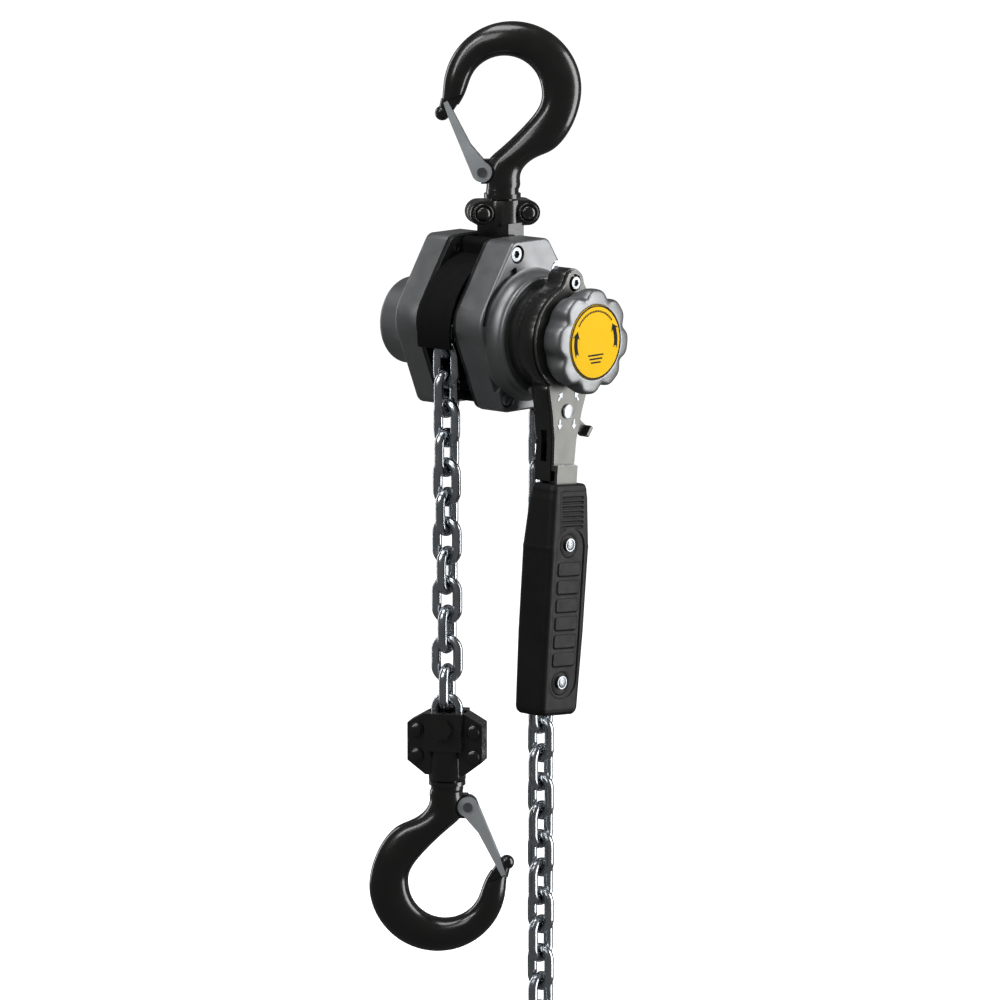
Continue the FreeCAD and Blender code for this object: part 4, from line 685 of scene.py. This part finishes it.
def solids_of(node):
    """The separate solids of a carried-over node, as (centre, long axis, half length)."""
    mesh = bmesh.new()
    mesh.from_mesh(NODES[node].data)
    bmesh.ops.remove_doubles(mesh, verts=mesh.verts, dist=SEAM)
    mesh.verts.ensure_lookup_table()
    seen, found = set(), []
    for first in mesh.verts:
        if first.index in seen:
            continue
        seen.add(first.index)
        stack, points = [first], []
        while stack:
            vert = stack.pop()
            points.append(vert.co.copy())
            for edge in vert.link_edges:
                other = edge.other_vert(vert)
                if other.index not in seen:
                    seen.add(other.index)
                    stack.append(other)
        cloud = numpy.array(points)
        centre = (cloud.min(0) + cloud.max(0)) / 2
        axis = numpy.linalg.eigh(numpy.cov((cloud - centre).T))[1][:, 2]
        reach = numpy.abs((cloud - centre) @ axis).max()
        found.append((Vector(centre), Vector(axis), float(reach)))
    mesh.free()
    return found


def along(centre, axis):
    """A transform that lays the local Y axis along the given axis, at the centre."""
    turn = Vector((0, 1, 0)).rotation_difference(axis).to_matrix().to_4x4()
    return Matrix.Translation(centre) @ turn


def joined(name, objs):
    bpy.ops.object.select_all(action="DESELECT")
    for obj in objs:
        obj.select_set(True)
    bpy.context.view_layer.objects.active = objs[0]
    bpy.ops.object.join()
    objs[0].name = name
    return objs[0]


def rivet_heads(node, body, material, profile):
    """Turned heads on both ends of every rivet of a node; the profile runs outwards from the seat."""
    heads = []
    for centre, axis, reach in solids_of(node):
        for way in (1, -1):
            head = spun("head", [(r * MM, h * MM) for r, h in profile], 40)
            seat = centre + axis * way * (reach - RIVET_SEAT)
            heads.append(place(head, along(seat, axis * way)))
    return finish_piece(joined(node + "_heads", heads), body, material)


# (radius, height above the seat) in millimetres
YOKE_HEAD = [(7.4, 0.0), (7.4, 1.5), (7.1, 2.2), (6.4, 2.5), (5.8, 2.2), (5.5, 1.3), (5.3, 1.1),
             (5.1, 1.4), (4.9, 2.4), (4.2, 3.1), (2.6, 3.6), (0.9, 3.8), (0.01, 3.8)]
BLOCK_HEAD = [(5.4, 0.0), (5.4, 0.9), (5.0, 1.9), (4.0, 2.8), (2.4, 3.4), (0.9, 3.6), (0.01, 3.6)]
RIVET_SEAT = 2.1 * MM                           # the seat's depth below the rivet's own end

# arrows round the selector pin, in the lever's upright axes: (x, z in millimetres from the pin, turn)
SELECTOR_MARKS = [(-8.6, 10.5, -35), (8.6, 10.5, 35), (-7.4, -9.0, 180), (7.4, -9.0, 180)]
MARK_SCALE = 1.3 * MM
MARK_ARROW = [(-0.55, -2.6), (0.55, -2.6), (0.55, 0.3), (1.9, 0.3), (0.0, 2.8), (-1.9, 0.3), (-0.55, 0.3)]
PIN_HEAD = 1.5 * MM                             # the selector pin's head stands this far off the plate
PIN_CAP_SEAT = 1.4 * MM                         # the cap starts this far behind the pin's front


def selector_marks():
    low, high = local_box("selector_pin")
    front = low.y + PIN_HEAD
    centre_x, centre_z = (low.x + high.x) / 2, (low.z + high.z) / 2
    outline = [(a * MARK_SCALE, b * MARK_SCALE) for a, b in MARK_ARROW]
    marks = []
    for x, z, turn in SELECTOR_MARKS:
        mark = flat_prism("mark", outline, -0.05 * MM, 0.35 * MM)
        spin = Matrix.Rotation(math.radians(turn), 4, "Z")
        spot = Matrix.Translation((centre_x + x * MM, centre_z + z * MM, 0))
        marks.append(place(mark, LEVER_TILT @ facing_front(front) @ spot @ spin))
    finish_piece(joined("selector_marks", marks), "lever", "zinc_steel")
    selector_pin_cap(LEVER_TILT @ Vector((centre_x, low.y + PIN_CAP_SEAT, centre_z)))


def selector_pin_cap(centre):
    cap = spun("selector_pin_cap", [(5.25 * MM, 0), (5.25 * MM, 1.2 * MM), (4.9 * MM, 1.55 * MM),
                                    (4.2 * MM, 1.7 * MM), (0.01 * MM, 1.7 * MM)], 48)
    place(cap, along(centre, Vector((0, -1, 0))))
    finish_piece(cap, "selector", "zinc_steel")


# ---------------------------------------------------------------- CAD nodes

# parts between the side plates, in a darker, duller black than the rest of their slot: their real black,
# darkened as painted shade for the gap between the plates
SHADED_NODES = ("chain_guide", "frame_stays", "load_sheave")


def dress_nodes(materials):
    """Give every carried-over node the material of its slot, except the parts between the side plates,
    which get the painted-shade black.
    """
    for part in frame["record"]["subparts"]:
        obj = NODES[part["node"]]
        obj.data.materials.clear()
        name = "painted_shade_black" if part["node"] in SHADED_NODES else part["material_slot"]
        obj.data.materials.append(materials[name])


WELD_GAP = 0.01 * MM


def round_edges(node, width, angle=35, segments=2, edge_material=None):
    """Weld a carried-over node's seams and round its sharp edges, for the look alone."""
    obj = NODES[node]
    weld = obj.modifiers.new("weld", "WELD")
    weld.merge_threshold = WELD_GAP
    rounding = obj.modifiers.new("rounding", "BEVEL")
    rounding.width = width
    rounding.segments = segments
    rounding.limit_method = "ANGLE"
    rounding.angle_limit = math.radians(angle)
    rounding.harden_normals = True
    if edge_material:
        obj.data.materials.append(MATERIALS[edge_material])
        rounding.material = 1


MATERIALS = make_materials()
add_camera()
add_lights()
add_stage()
dress_nodes(MATERIALS)
wheel_parts()
grip_piece()
grip_screws()
selector_marks()
rivet_heads("yoke_rivets", "top_yoke", "forged_black", YOKE_HEAD)
rivet_heads("bottom_block_rivets", "bottom_block", "forged_black", BLOCK_HEAD)
# the bevels take the bright metal, a painted highlight line on the plate's edges
round_edges("lever_plate", 0.5 * MM, edge_material="edge_highlight_metal")
for node in ("yoke_front", "yoke_rear", "bottom_block_front", "bottom_block_rear"):
    round_edges(node, 0.9 * MM)
for node in ("selector_lever", "lever_shell", "gear_side_plate", "brake_side_plate"):
    round_edges(node, 0.4 * MM)
for node in ("gear_cover", "brake_cover"):
    round_edges(node, 1.0 * MM, angle=30, segments=3)
